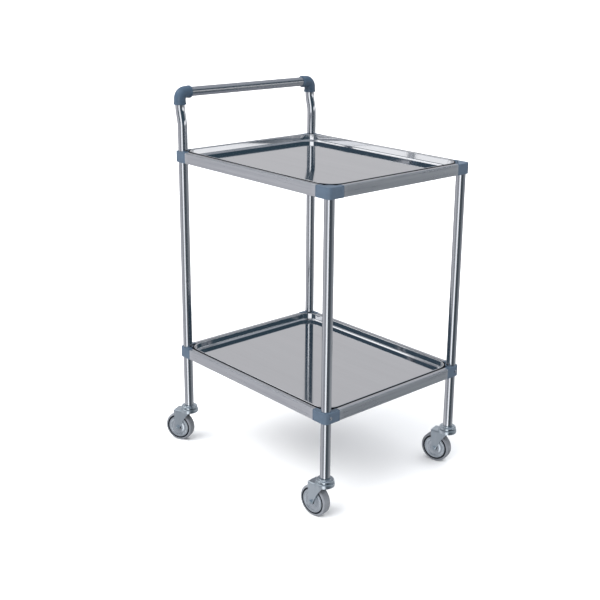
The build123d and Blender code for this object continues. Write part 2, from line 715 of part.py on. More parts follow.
def castor_guards(corner):
    """Dished cover disc on each side of the wheel, two separate solids."""
    inner = HUB_RADIUS + SLIP
    edge_face = WHEEL_RIM_HALF
    crest = WHEEL_RIM_HALF + GUARD_RISE
    with BuildPart() as guards:
        with BuildSketch(wheel_section(corner)):
            with BuildLine():
                Polyline(
                    (inner, crest),
                    (inner, crest + GUARD_SHEET),
                    (GUARD_FLAT_RADIUS, crest + GUARD_SHEET),
                    (WHEEL_BORE_RADIUS, edge_face + GUARD_SHEET),
                    (GUARD_RADIUS, edge_face + GUARD_SHEET),
                    (GUARD_RADIUS, edge_face),
                    (WHEEL_BORE_RADIUS, edge_face),
                    (GUARD_FLAT_RADIUS, crest),
                    close=True,
                )
            make_face()
            mirror(about=Plane.XZ)
        revolve(axis=spin_axis(corner))
    save(guards, f"{corner}_castor_guards")


def main():
    """Builds every piece of the cart."""
    for corner in ("front_right", "front_left"):
        front_post(corner)
    for corner in ("rear_right", "rear_left"):
        rear_post(corner)
        handle_elbow(corner)
    handle_tube()
    for shelf, top in SHELVES.items():
        shelf_rails(shelf, top)
        for corner in CORNERS:
            corner_block(shelf, top, corner)
        tray(shelf, top)
    corner_screws()
    post_plugs()
    castor_balls()
    for corner in CORNERS:
        castor_stem(corner)
        castor_cup(corner)
        castor_fork(corner)
        castor_axle(corner)
        castor_nut(corner)
        castor_wheel(corner)
        castor_tyre(corner)
        castor_guards(corner)


main()
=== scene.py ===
"""Looks of the instrument cart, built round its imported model.

Tubes, rails, mouldings, trays and castors are finished surfaces worked out with numpy. Each one
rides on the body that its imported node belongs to. Lengths are metres; +X is the way the cart is
pushed, +Y is its left side and +Z is up.
"""

import logging
import math
from collections.abc import Callable, Sequence
from dataclasses import dataclass
from enum import Enum

import bmesh
import bpy
import numpy as np
from mathutils import Matrix, Vector


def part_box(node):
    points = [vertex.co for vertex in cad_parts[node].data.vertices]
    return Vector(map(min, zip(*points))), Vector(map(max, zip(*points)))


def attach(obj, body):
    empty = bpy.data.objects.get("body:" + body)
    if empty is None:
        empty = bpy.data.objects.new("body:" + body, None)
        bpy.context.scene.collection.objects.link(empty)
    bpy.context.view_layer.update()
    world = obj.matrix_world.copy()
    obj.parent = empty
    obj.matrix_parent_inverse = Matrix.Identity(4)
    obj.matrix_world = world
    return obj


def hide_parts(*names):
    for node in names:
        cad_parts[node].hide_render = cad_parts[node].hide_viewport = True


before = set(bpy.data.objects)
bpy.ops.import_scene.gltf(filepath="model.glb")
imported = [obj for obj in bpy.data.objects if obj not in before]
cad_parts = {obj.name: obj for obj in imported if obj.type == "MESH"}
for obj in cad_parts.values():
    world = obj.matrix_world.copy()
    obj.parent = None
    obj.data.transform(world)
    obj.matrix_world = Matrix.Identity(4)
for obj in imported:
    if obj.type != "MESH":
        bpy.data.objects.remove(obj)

LOG = logging.getLogger("cart")
MM = 0.001
Array = np.ndarray
Colour = tuple[float, float, float]

CORNERS = ("front_right", "front_left", "rear_right", "rear_left")
SHELVES = ("upper", "lower")
UP = np.array((0.0, 0.0, 1.0))
EAST = np.array((1.0, 0.0, 0.0))
NORTH = np.array((0.0, 1.0, 0.0))


# ---------------------------------------------------------------------------
# Node graphs
# ---------------------------------------------------------------------------


class Graph:
    """Short way to write one shader node tree."""

    def __init__(self, tree: bpy.types.NodeTree) -> None:
        """Empties the tree and keeps it.

        Args:
            tree: The material's or world's node tree.
        """
        self.tree = tree
        tree.nodes.clear()

    def node(self, kind: str, **settings: object) -> bpy.types.Node:
        """Adds one node.

        Args:
            kind: Type of the node, without the leading ShaderNode.
            settings: Properties of the node.

        Returns:
            The new node.
        """
        made = self.tree.nodes.new("ShaderNode" + kind)
        for name, value in settings.items():
            setattr(made, name, value)
        return made

    def feed(self, target: bpy.types.NodeSocket, source: object) -> None:
        """Links a socket, or sets its value.

        Args:
            target: Input socket.
            source: Output socket, or a number or colour.
        """
        if isinstance(source, bpy.types.NodeSocket):
            self.tree.links.new(source, target)
        elif isinstance(source, tuple) and len(source) == 3 and target.type == "RGBA":
            target.default_value = (*source, 1.0)
        else:
            target.default_value = source

    def math(self, operation: str, *values: object) -> bpy.types.NodeSocket:
        """Adds a Math node and returns its result.

        Args:
            operation: Blender's name of the operation.
            values: Numbers or sockets for its inputs, in order.

        Returns:
            The output socket.
        """
        made = self.node("Math", operation=operation)
        for place, value in enumerate(values):
            self.feed(made.inputs[place], value)
        return made.outputs[0]

    def vector(self, operation: str, *values: object) -> bpy.types.Node:
        """Adds a VectorMath node.

        Args:
            operation: Blender's name of the operation.
            values: Vectors or sockets for its inputs, in order.

        Returns:
            The node, as some operations give a vector and some a number.
        """
        made = self.node("VectorMath", operation=operation)
        for place, value in enumerate(values):
            self.feed(made.inputs[place], value)
        return made

    def stretched(self, scale: Sequence[float]) -> bpy.types.NodeSocket:
        """Object coordinates times a scale.

        Args:
            scale: Factor along X, Y and Z.

        Returns:
            The scaled coordinates.
        """
        coordinates = self.node("TexCoord")
        mapping = self.node("Mapping")
        self.feed(mapping.inputs["Vector"], coordinates.outputs["Object"])
        mapping.inputs["Scale"].default_value = tuple(scale)
        return mapping.outputs["Vector"]

    def noise(self, vector: bpy.types.NodeSocket, scale: float, detail: float = 2.0) -> bpy.types.NodeSocket:
        """Value of a noise texture.

        Args:
            vector: Coordinates it reads.
            scale: Features per unit.
            detail: Octaves.

        Returns:
            Output from 0 to 1, mostly near 0.5.
        """
        made = self.node("TexNoise")
        self.feed(made.inputs["Vector"], vector)
        made.inputs["Scale"].default_value = scale
        made.inputs["Detail"].default_value = detail
        return made.outputs["Fac"]

    def spread(self, value: bpy.types.NodeSocket, low: float, high: float) -> bpy.types.NodeSocket:
        """Maps the middle of a noise, 0.3 to 0.7, to a range.

        Args:
            value: The noise.
            low: Result at 0.3.
            high: Result at 0.7.

        Returns:
            The mapped value.
        """
        made = self.node("MapRange")
        self.feed(made.inputs["Value"], value)
        made.inputs["From Min"].default_value = 0.3
        made.inputs["From Max"].default_value = 0.7
        made.inputs["To Min"].default_value = low
        made.inputs["To Max"].default_value = high
        return made.outputs["Result"]

    def blend(self, share: object, first: object, second: object) -> bpy.types.NodeSocket:
        """Mixes two colours.

        Args:
            share: 0 gives the first, 1 the second.
            first: Colour or socket.
            second: Colour or socket.

        Returns:
            The mixed colour.
        """
        made = self.node("Mix", data_type="RGBA")
        self.feed(made.inputs["Factor"], share)
        self.feed(made.inputs[6], first)
        self.feed(made.inputs[7], second)
        return made.outputs[2]

    def step(self, value: bpy.types.NodeSocket, start: float, stop: float) -> bpy.types.NodeSocket:
        """Eases from 0 to 1 as a value goes from start to stop.

        Args:
            value: The value.
            start: Where the result is 0.
            stop: Where the result is 1.

        Returns:
            The eased share.
        """
        made = self.node("MapRange", interpolation_type="SMOOTHSTEP")
        self.feed(made.inputs["Value"], value)
        made.inputs["From Min"].default_value = start
        made.inputs["From Max"].default_value = stop
        return made.outputs["Result"]

    def rubbed(self, start: float, stop: float, most: float) -> bpy.types.NodeSocket:
        """Share by which outer edges are rubbed, from the mesh's pointiness.

        Args:
            start: Pointiness at which it starts.
            stop: Pointiness at which it is full.
            most: Largest share.

        Returns:
            The share.
        """
        made = self.node("MapRange")
        self.feed(made.inputs["Value"], self.node("NewGeometry").outputs["Pointiness"])
        made.inputs["From Min"].default_value = start
        made.inputs["From Max"].default_value = stop
        made.inputs["To Max"].default_value = most
        return made.outputs["Result"]

    def relief(self, shader: bpy.types.Node, height: object, strength: float, depth: float) -> None:
        """Gives a shader a bumpy surface.

        Args:
            shader: The shader node.
            height: Socket with the relief's height from 0 to 1.
            strength: How strongly it shows.
            depth: Height in metres that 1 stands for.
        """
        made = self.node("Bump")
        made.inputs["Strength"].default_value = strength
        made.inputs["Distance"].default_value = depth
        self.feed(made.inputs["Height"], height)
        self.feed(shader.inputs["Normal"], made.outputs["Normal"])

    def ramp(self, value: object, stops: Sequence[tuple[float, Colour]]) -> bpy.types.NodeSocket:
        """Colour ramp that eases between its stops.

        Args:
            value: Where to read it.
            stops: Place and colour of each stop, in order.

        Returns:
            The colour.
        """
        made = self.node("ValToRGB")
        made.color_ramp.interpolation = "EASE"
        elements = made.color_ramp.elements
        while len(elements) < len(stops):
            elements.new(1.0)
        for element, (place, colour) in zip(elements, stops):
            element.position = place
            element.color = (*colour, 1.0)
        self.feed(made.inputs["Fac"], value)
        return made.outputs["Color"]


# ---------------------------------------------------------------------------
# Finishes
# ---------------------------------------------------------------------------


class Grain(Enum):
    """Which way a metal was drawn or brushed: how fast its streaks change along X, Y and Z."""

    ALONG_X = (0.02, 1.0, 1.0)
    ALONG_Y = (1.0, 0.02, 1.0)
    ALONG_Z = (1.0, 1.0, 0.02)
    NONE = (1.0, 1.0, 1.0)


def new_material(name: str) -> tuple[bpy.types.Material, Graph, bpy.types.Node]:
    """Starts a material with a Principled shader on its output.

    Args:
        name: The material's name.

    Returns:
        The material, its graph and the shader node.
    """
    material = bpy.data.materials.new(name)
    material.use_nodes = True
    graph = Graph(material.node_tree)
    shader = graph.node("BsdfPrincipled")
    output = graph.node("OutputMaterial")
    graph.feed(output.inputs["Surface"], shader.outputs["BSDF"])
    return material, graph, shader


@dataclass(frozen=True)
class Metal:
    """Bare or plated metal with streaks along its grain."""

    name: str
    colour: Colour
    dark: Colour
    roughness: float
    roughness_spread: float
    grain: Grain = Grain.NONE
    streaks: float = 300.0
    bump: float = 0.04
    worn_edges: bool = True

    def make(self) -> bpy.types.Material:
        """Builds the material.

        Returns:
            Metal whose colour, roughness and relief follow two sizes of streak.
        """
        material, graph, shader = new_material(self.name)
        lines = graph.stretched([share * self.streaks for share in self.grain.value])
        fine = graph.noise(lines, 3.0, 3.0)
        broad = graph.noise(lines, 0.35, 2.0)
        cloud = graph.noise(graph.stretched((9.0, 9.0, 9.0)), 1.0, 3.0)
        mixed = graph.math("MULTIPLY_ADD", fine, 0.4, graph.math("MULTIPLY", broad, 0.6))
        colour = graph.blend(graph.spread(mixed, 0.0, 1.0), self.dark, self.colour)
        if self.worn_edges:
            bright = tuple(min(1.0, part * 1.18) for part in self.colour)
            colour = graph.blend(graph.rubbed(0.52, 0.62, 0.5), colour, bright)
        graph.feed(shader.inputs["Base Color"], colour)
        low = max(0.02, self.roughness - self.roughness_spread)
        high = self.roughness + self.roughness_spread
        uneven = graph.math("MULTIPLY_ADD", cloud, 0.5, graph.math("MULTIPLY", mixed, 0.5))
        graph.feed(shader.inputs["Roughness"], graph.spread(uneven, low, high))
        shader.inputs["Metallic"].default_value = 1.0
        graph.relief(shader, mixed, self.bump, 0.1 * MM)
        return material


@dataclass(frozen=True)
class Moulding:
    """Moulded plastic or rubber: fine spark texture, faint flow marks, edges rubbed lighter."""

    name: str
    colour: Colour
    rubbed: Colour
    roughness: float
    texture: float = 1600.0
    bump: float = 0.12
    specular: float = 0.5

    def make(self) -> bpy.types.Material:
        """Builds the material.

        Returns:
            Dielectric with grainy relief and mottled colour.
        """
        material, graph, shader = new_material(self.name)
        grain = graph.noise(graph.stretched((1.0, 1.0, 1.0)), self.texture, 2.0)
        flow = graph.noise(graph.stretched((40.0, 40.0, 90.0)), 1.0, 3.0)
        shade = tuple(part * 0.86 for part in self.colour)
        colour = graph.blend(graph.spread(flow, 0.0, 1.0), shade, self.colour)
        worn = graph.blend(graph.rubbed(0.51, 0.60, 0.6), colour, self.rubbed)
        graph.feed(shader.inputs["Base Color"], worn)
        uneven = graph.math("MULTIPLY_ADD", grain, 0.6, graph.math("MULTIPLY", flow, 0.4))
        rough = graph.spread(uneven, self.roughness - 0.07, self.roughness + 0.07)
        graph.feed(shader.inputs["Roughness"], rough)
        shader.inputs["Specular IOR Level"].default_value = self.specular
        graph.relief(shader, grain, self.bump, 0.15 * MM)
        return material


@dataclass(frozen=True)
class TurnedMetal:
    """Pressed and plated disc whose fine rings follow its own profile, read from the mesh."""

    name: str
    colour: Colour
    dark: Colour
    roughness: float

    def make(self) -> bpy.types.Material:
        """Builds the material.

        Returns:
            Metal with concentric marks from the mesh's profile_length attribute.
        """
        material, graph, shader = new_material(self.name)
        length = graph.node("Attribute", attribute_name="profile_length").outputs["Fac"]
        rings = graph.node("TexNoise", noise_dimensions="1D")
        graph.feed(rings.inputs["W"], graph.math("MULTIPLY", length, 900.0))
        rings.inputs["Scale"].default_value = 1.0
        rings.inputs["Detail"].default_value = 3.0
        cloud = graph.noise(graph.stretched((90.0, 90.0, 90.0)), 1.0, 3.0)
        mixed = graph.math("MULTIPLY_ADD", rings.outputs["Fac"], 0.6, graph.math("MULTIPLY", cloud, 0.4))
        colour = graph.blend(graph.spread(mixed, 0.0, 1.0), self.dark, self.colour)
        graph.feed(shader.inputs["Base Color"], colour)
        rough = graph.spread(mixed, self.roughness - 0.08, self.roughness + 0.08)
        graph.feed(shader.inputs["Roughness"], rough)
        shader.inputs["Metallic"].default_value = 1.0
        graph.relief(shader, rings.outputs["Fac"], 0.08, 0.1 * MM)
        return material


STEEL = (0.72, 0.735, 0.76)
STEEL_SHADE = (0.56, 0.575, 0.61)
# Grip colours: the posts' steel darkened, painted shade that makes the satin grip read darker than the posts.
GRIP_PAINTED_SHADE = (0.60, 0.61, 0.63)
GRIP_STREAK_PAINTED_SHADE = (0.52, 0.53, 0.56)
MIRROR = (0.78, 0.785, 0.80)
MIRROR_SHADE = (0.73, 0.735, 0.75)
ZINC = (0.68, 0.745, 0.79)
ZINC_SHADE = (0.60, 0.67, 0.72)
DISC = (0.68, 0.73, 0.77)
DISC_SHADE = (0.52, 0.57, 0.62)
BLUE_GREY = (0.060, 0.090, 0.130)
BLUE_GREY_RUBBED = (0.10, 0.14, 0.19)
ELBOW_BLUE = (0.045, 0.075, 0.115)
ELBOW_BLUE_RUBBED = (0.10, 0.145, 0.20)
PLUG_BLACK = (0.03, 0.03, 0.033)
PLUG_BLACK_RUBBED = (0.08, 0.08, 0.085)
# Near-black of the strip round each tray's rim: painted shade for the shadow in the gap between the rim and
# the rails.
SHADE_STRIP_BLACK = (0.006, 0.007, 0.009)
SHADE_STRIP_BLACK_RUBBED = (0.010, 0.011, 0.013)
RING_BLACK = (0.004, 0.007, 0.012)
RING_BLACK_RUBBED = (0.010, 0.013, 0.018)
RUBBER = (0.19, 0.20, 0.22)
RUBBER_RUBBED = (0.24, 0.25, 0.27)

FINISHES: dict[str, Metal | Moulding | TurnedMetal] = {
    finish.name: finish
    for finish in (
        Metal("post_steel", STEEL, STEEL_SHADE, 0.15, 0.04, Grain.ALONG_Z, 500.0, 0.012),
        # Satin grip finish; its colour is the posts' steel darkened as painted shade.
        Metal("grip_steel_painted_shade", GRIP_PAINTED_SHADE, GRIP_STREAK_PAINTED_SHADE, 0.24, 0.05, Grain.ALONG_Y, 500.0, 0.03),
        Metal("rail_steel_x", STEEL, STEEL_SHADE, 0.30, 0.06, Grain.ALONG_X, 420.0, 0.10),
        Metal("rail_steel_y", STEEL, STEEL_SHADE, 0.30, 0.06, Grain.ALONG_Y, 420.0, 0.10),
        Metal("tray_steel", MIRROR, MIRROR_SHADE, 0.06, 0.02, Grain.ALONG_X, 60.0, 0.004, False),
        Metal("screw_steel", STEEL, STEEL_SHADE, 0.24, 0.06, Grain.NONE, 900.0, 0.05),
        Metal("ball_steel", STEEL, STEEL_SHADE, 0.12, 0.04, Grain.NONE, 700.0, 0.02),
        Metal("zinc_plate", ZINC, ZINC_SHADE, 0.30, 0.05, Grain.ALONG_Z, 260.0, 0.05),
        TurnedMetal("zinc_turned", ZINC, ZINC_SHADE, 0.24),
        TurnedMetal("disc_turned", DISC, DISC_SHADE, 0.30),
        Moulding("corner_plastic", BLUE_GREY, BLUE_GREY_RUBBED, 0.42),
        Moulding("elbow_plastic", ELBOW_BLUE, ELBOW_BLUE_RUBBED, 0.32),
        Moulding("plug_plastic", PLUG_BLACK, PLUG_BLACK_RUBBED, 0.5),
        # Finish of the tray's rim strip: a near-black piece that paints the shadow in the gap between the rim
        # and the rails.
        Moulding("painted_shade_strip", SHADE_STRIP_BLACK, SHADE_STRIP_BLACK_RUBBED, 0.6, 1600.0, 0.1, 0.2),
        Moulding("black_ring", RING_BLACK, RING_BLACK_RUBBED, 0.45, 1600.0, 0.1, 0.2),
        Moulding("grey_rubber", RUBBER, RUBBER_RUBBED, 0.62, 1100.0, 0.25, 0.35),
    )
}


class Paint:
    """Makes each finish once and hands it out."""

    made: dict[str, bpy.types.Material] = {}

    @classmethod
    def get(cls, name: str) -> bpy.types.Material:
        """Gives the material of a finish by its name."""
        if name not in cls.made:
            cls.made[name] = FINISHES[name].make()
        return cls.made[name]


# ---------------------------------------------------------------------------
# Surfaces
# ---------------------------------------------------------------------------


@dataclass
class Shell:
    """A closed skin given as a stack of rings.

    rings[v, u] is the point at station v along the skin and place u round it. Neighbouring rings
    are joined by quads, and every ring joins up with itself. The skin is closed by a flat polygon
    at each end, or, when it is looped, by joining its last ring to its first.
    """

    rings: Array
    looped: bool = False

    def faces(self, first: int) -> list[list[int]]:
        """Lists the faces.

        Args:
            first: Number of the shell's first vertex in the whole mesh.

        Returns:
            Vertex numbers of each face.
        """
        stations, count = self.rings.shape[:2]
        index = first + np.arange(stations * count).reshape(stations, count)
        rows = np.vstack([index, index[:1]]) if self.looped else index
        beside = np.roll(rows, -1, axis=1)
        quads = np.stack([rows[:-1], beside[:-1], beside[1:], rows[1:]], axis=-1).reshape(-1, 4)
        caps = [] if self.looped else [index[0][::-1].tolist(), index[-1].tolist()]
        return quads.tolist() + caps

    def lengths(self) -> Array:
        """Length along the skin from its first ring to each vertex, measured at place 0."""
        steps = np.linalg.norm(np.diff(self.rings[:, 0], axis=0), axis=1)
        along = np.concatenate([[0.0], np.cumsum(steps)])
        return np.repeat(along, self.rings.shape[1])


def build(
    name: str,
    shells: Sequence[Shell],
    finish: str,
    node: str | Sequence[str],
    body: str,
    crease: float = 38.0,
) -> bpy.types.Object:
    """Makes one finished piece, dresses it and hangs it on its body.

    Args:
        name: The piece's name.
        shells: Its skins.
        finish: Name of its finish.
        node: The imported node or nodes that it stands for, none for an added piece.
        body: The body that it rides on.
        crease: Edges that turn by more degrees than this stay sharp.

    Returns:
        The new object.
    """
    faces: list[list[int]] = []
    first = 0
    for shell in shells:
        faces += shell.faces(first)
        first += shell.rings.shape[0] * shell.rings.shape[1]
    points = np.concatenate([shell.rings.reshape(-1, 3) for shell in shells])
    mesh = bpy.data.meshes.new(name)
    mesh.from_pydata(points.tolist(), [], faces)
    whole = bmesh.new()
    whole.from_mesh(mesh)
    bmesh.ops.recalc_face_normals(whole, faces=whole.faces)
    whole.to_mesh(mesh)
    whole.free()
    along = mesh.attributes.new("profile_length", "FLOAT", "POINT")
    lengths = np.concatenate([shell.lengths() for shell in shells])
    along.data.foreach_set("value", lengths.astype(np.float32))
    mesh.shade_smooth()
    mesh.set_sharp_from_angle(angle=math.radians(crease))
    mesh.materials.append(Paint.get(finish))
    piece = bpy.data.objects.new(name, mesh)
    bpy.context.scene.collection.objects.link(piece)
    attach(piece, body)
    if node:
        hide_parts(*([node] if isinstance(node, str) else node))
    LOG.info("%s: %d vertices on %s", name, len(points), body)
    return piece


def arc(centre: Sequence[float], radius: float, start: float, stop: float, steps: int = 8) -> Array:
    """Points on an arc: the centre plus the radius times (cos a, sin a), with a even in degrees.

    Args:
        centre: Middle of the arc.
        radius: Its radius.
        start: First angle.
        stop: Last angle.
        steps: Number of stretches.

    Returns:
        The points, steps + 1 by 2.
    """
    angle = np.radians(np.linspace(start, stop, steps + 1))
    return np.asarray(centre) + radius * np.stack([np.cos(angle), np.sin(angle)], axis=1)


def rounded(corners: Array, radii: Sequence[float], steps: int = 6, closed: bool = True) -> Array:
    """Polygon with its corners rounded, each arc tangent to the sides it joins.

    The arc's centre lies on the corner's bisector, radius / sin(half angle) from the corner, and
    its points are the centre plus the radius along directions turned evenly between the sides. On
    a closed outline, a point a quarter of the radius outside each end of the arc keeps the flat
    sides flat in shading.

    Args:
        corners: Corner points, n by 2.
        radii: One radius for each corner.
        steps: Stretches in each arc.
        closed: Round the first and last corner too.

    Returns:
        Points along the outline.
    """
    found: list[Array] = []
    count = len(corners)
    for place, radius in enumerate(radii):
        corner = corners[place]
        if not closed and place in (0, count - 1):
            found.append(corner[None])
            continue
        before = corners[place - 1] - corner
        after = corners[(place + 1) % count] - corner
        before, after = before / np.linalg.norm(before), after / np.linalg.norm(after)
        half = math.acos(float(np.clip(before @ after, -1, 1))) / 2
        middle = corner + (before + after) / np.linalg.norm(before + after) * radius / math.sin(half)
        reach = radius / math.tan(half)
        start, stop = corner + before * reach - middle, corner + after * reach - middle
        turn = math.pi - 2 * half
        share = np.linspace(0, 1, steps + 1)[:, None]
        swung = (np.sin((1 - share) * turn) * start + np.sin(share * turn) * stop) / math.sin(turn)
        lead = radius / 4 if closed else 0.0
        if lead:
            found.append(corner[None] + before * (reach + lead))
        found.append(middle + swung)
        if lead:
            found.append(corner[None] + after * (reach + lead))
    return np.concatenate(found)


def rounded_box(half: Array, radius: float, steps: int) -> Array:
    """Rectangle about the origin with rounded corners, from half its size along each side."""
    signs = np.array([(-1, -1), (1, -1), (1, 1), (-1, 1)])
    return rounded(signs * half, [radius] * 4, steps)


def densify(outline: Array, step: float) -> Array:
    """Adds points to a closed outline so that none lie further apart than a step.

    Args:
        outline: Points, n by 2.
        step: Largest spacing.

    Returns:
        The same outline with points added along its longer stretches.
    """
    ring = np.vstack([outline, outline[:1]])
    length = np.concatenate([[0.0], np.cumsum(np.linalg.norm(np.diff(ring, axis=0), axis=1))])
    spots = np.union1d(length[:-1], np.arange(0.0, length[-1], step))
    keep = np.concatenate([[True], np.diff(spots) > step * 0.05])
    spots = spots[keep]
    return np.stack([np.interp(spots, length, ring[:, axis]) for axis in (0, 1)], axis=1)


def inset(outline: Array, amount: float) -> Array:
    """Closed outline moved to its left by an amount, along the normal of its neighbours' chord.

    Args:
        outline: Points, n by 2, anticlockwise.
        amount: Distance inwards.

    Returns:
        The moved points.
    """
    chord = np.roll(outline, -1, axis=0) - np.roll(outline, 1, axis=0)
    normal = np.stack([-chord[:, 1], chord[:, 0]], axis=1)
    return outline + amount * normal / np.linalg.norm(normal, axis=1, keepdims=True)


def carry(section: Array, path: Array, across: Array, scale: Array | None = None) -> Array:
    """Carries a section along a path that lies in one plane.

    Each ring is the path point plus the section's first coordinate along the plane's normal and
    its second along the direction square to both that normal and the path.

    Args:
        section: Points, m by 2.
        path: Points, n by 3.
        across: Normal of the path's plane.
        scale: Size of the section at each path point; 1 where not given.

    Returns:
        Rings, n by m by 3.
    """
    tangent = np.gradient(path, axis=0)
    tangent /= np.linalg.norm(tangent, axis=1, keepdims=True)
    side = np.cross(tangent, across)
    size = np.ones(len(path)) if scale is None else scale
    first = section[None, :, :1] * np.asarray(across)[None, None, :]
    second = section[None, :, 1:] * side[:, None, :]
    return path[:, None, :] + size[:, None, None] * (first + second)


def circle(radius: float, count: int = 64) -> Array:
    """Circle of count points about the origin."""
    return arc((0.0, 0.0), radius, 0.0, 360.0, count)[:-1]


@dataclass
class Axle:
    """Place and directions of a turned part.

    Attributes:
        centre: A point on the axis.
        along: Unit vector of the axis.
        out: Unit vector square to it, where turning starts.
    """

    centre: Array
    along: Array
    out: Array

    def turn(self, profile: Array, count: int = 96, shape: Callable[[Array], Array] | None = None) -> Array:
        """Turns a profile about the axis.

        Ring v has the radius profile[v, 0] and stands profile[v, 1] along the axis; its points
        are centre + radius (cos a out + sin a side) + height along.

        Args:
            profile: Radius and height of each ring.
            count: Points round.
            shape: Gives the radii at each angle from the profile's radii, for hexagons.

        Returns:
            Rings, n by count by 3.
        """
        angle = np.linspace(0.0, 2 * math.pi, count, endpoint=False)
        side = np.cross(self.along, self.out)
        round_about = np.cos(angle)[:, None] * self.out + np.sin(angle)[:, None] * side
        radius = np.repeat(profile[:, :1], count, axis=1)
        if shape is not None:
            radius = np.minimum(radius, shape(angle)[None, :])
        return self.centre + radius[:, :, None] * round_about + profile[:, 1][:, None, None] * self.along


def hexagon(flats: float) -> Callable[[Array], Array]:
    """Radius of a hexagon at an angle: half the flats over the cosine of the angle to the flat.

    Args:
        flats: Distance between opposite sides.

    Returns:
        Function of the angles.
    """
    sixth = math.pi / 3
    return lambda angle: flats / 2 / np.cos(np.mod(angle, sixth) - sixth / 2)


def box_of(node: str) -> tuple[Array, Array]:
    """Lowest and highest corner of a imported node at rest, as arrays."""
    low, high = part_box(node)
    return np.array(low), np.array(high)


def middle_of(node: str) -> Array:
    """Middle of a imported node's box."""
    low, high = box_of(node)
    return (low + high) / 2


def post_axis(corner: str) -> Array:
    """Point on a post's axis at the floor."""
    return middle_of(f"{corner}_castor_cup") * (1, 1, 0)


# ---------------------------------------------------------------------------
# Posts and handle
# ---------------------------------------------------------------------------


@dataclass
class Uprights:
    """The four posts and the grip tube, all of one round tube, and the two handle elbows."""

    tube_radius: float = 12.5 * MM
    tube_wall: float = 1.2 * MM
    bend_radius: float = 90.0 * MM
    bend_rise: float = 38.0 * MM
    elbow_leg: float = 31.0 * MM
    elbow_bend: float = 16.0 * MM
    elbow_wall: float = 3.0 * MM
    collar_length: float = 6.0 * MM
    collar_rise: float = 0.8 * MM
    points_round: int = 72

    def tube(self, path: Array, across: Array) -> Shell:
        """Tube wall: the outer circle carried along the path, and the bore carried back."""
        outer = carry(circle(self.tube_radius, self.points_round), path, across)
        bore = carry(circle(self.tube_radius - self.tube_wall, self.points_round), path, across)
        return Shell(np.concatenate([outer, bore[::-1]]), looped=True)

    def straight_path(self, start: Array, end: Array, steps: int = 24) -> Array:
        """Evenly spaced points from start to end."""
        return start + np.linspace(0, 1, steps + 1)[:, None] * (end - start)

    def post(self, corner: str, path: Array) -> None:
        """Builds one post along its path."""
        node = f"{corner}_post"
        build(f"{corner}_tube", [self.tube(path, NORTH)], "post_steel", node, "frame")

    def front_post(self, corner: str) -> None:
        """Straight post from the castor's cup into the cap of the upper block."""
        low, high = box_of(f"{corner}_post")
        axis = post_axis(corner)
        path = self.straight_path(axis + UP * low[2], axis + UP * high[2])
        self.post(corner, path)

    def rear_post(self, corner: str) -> None:
        """Post with the two bends that set the handle back, rounded from four corner points."""
        low, high = box_of(f"{corner}_post")
        axis = post_axis(corner)
        grip = middle_of("handle_tube")
        lean = math.atan2(axis[0] - grip[0], self.bend_rise)
        upper = grip[2] - self.elbow_leg - self.bend_radius * math.tan(lean / 2)
        corners = np.array(
            [(axis[0], low[2]), (axis[0], upper - self.bend_rise), (grip[0], upper), (grip[0], high[2])]
        )
        bends = rounded(corners, [0, self.bend_radius, self.bend_radius, 0], 14, closed=False)
        legs = np.linspace(corners[0], bends[1], 24)[1:-1]
        line = np.concatenate([bends[:1], legs, bends[1:]])
        path = np.stack([line[:, 0], np.full(len(line), axis[1]), line[:, 1]], axis=1)
        self.post(corner, path)

    def grip(self) -> None:
        """Straight grip tube between the elbows."""
        low, high = box_of("handle_tube")
        axis = middle_of("handle_tube") * (1, 0, 1)
        path = self.straight_path(axis + NORTH * low[1], axis + NORTH * high[1])
        # The grip's finish is the posts' steel darkened: painted shade.
        build("grip_tube", [self.tube(path, EAST)], "grip_steel_painted_shade", "handle_tube", "frame")

    def elbow(self, side: str) -> None:
        """Moulded elbow: a round shell with a rolled collar at each mouth, open at both ends.

        The shell's radius along its path is the wall radius plus the collar's rise near the
        mouths, eased by a quarter circle at the lip and a ramp behind the collar.
        """
        node = f"handle_elbow_{side}"
        grip = middle_of("handle_tube")
        post = post_axis(f"rear_{side}")
        inward = -math.copysign(1.0, post[1])
        mouths = (post[1], grip[2] - self.elbow_leg), (post[1] + inward * self.elbow_leg, grip[2])
        corners = np.array([mouths[0], (post[1], grip[2]), mouths[1]])
        line = rounded(corners, [0, self.elbow_bend, 0], 16, closed=False)
        length = np.concatenate([[0.0], np.cumsum(np.linalg.norm(np.diff(line, axis=0), axis=1))])
        total = length[-1]
        lip = self.collar_rise
        back = self.collar_length
        ease = np.linspace(0, 1, 5)
        near = np.concatenate([lip * ease**2, [back * 0.5, back * 0.85, back, back * 1.08, back * 1.25]])
        clear = back * 1.3
        between = length[(length > clear) & (length < total - clear)]
        spots = np.union1d(np.concatenate([near, total - near]), between)
        points = np.stack([np.interp(spots, length, line[:, axis]) for axis in (0, 1)], axis=1)
        path = np.stack([np.full(len(points), grip[0]), points[:, 0], points[:, 1]], axis=1)
        wall = self.tube_radius + self.elbow_wall
        reach = np.minimum(spots, total - spots)
        lip_fall = lip * (1 - np.sqrt(np.clip(1 - (1 - np.clip(reach / lip, 0, 1)) ** 2, 0, 1)))
        step = np.clip((back * 1.08 - reach) / (back * 0.08), 0, 1)
        radius = wall + self.collar_rise * step - lip_fall
        socket = self.tube_radius + 0.05 * MM
        unit = circle(1.0, self.points_round)
        outer = carry(unit, path, EAST, radius)
        inner = carry(unit, path, EAST, np.full(len(path), socket))
        shell = Shell(np.concatenate([outer, inner[::-1]]), looped=True)
        build(f"elbow_{side}", [shell], "elbow_plastic", node, "frame", 50.0)


# ---------------------------------------------------------------------------
# Shelves
# ---------------------------------------------------------------------------


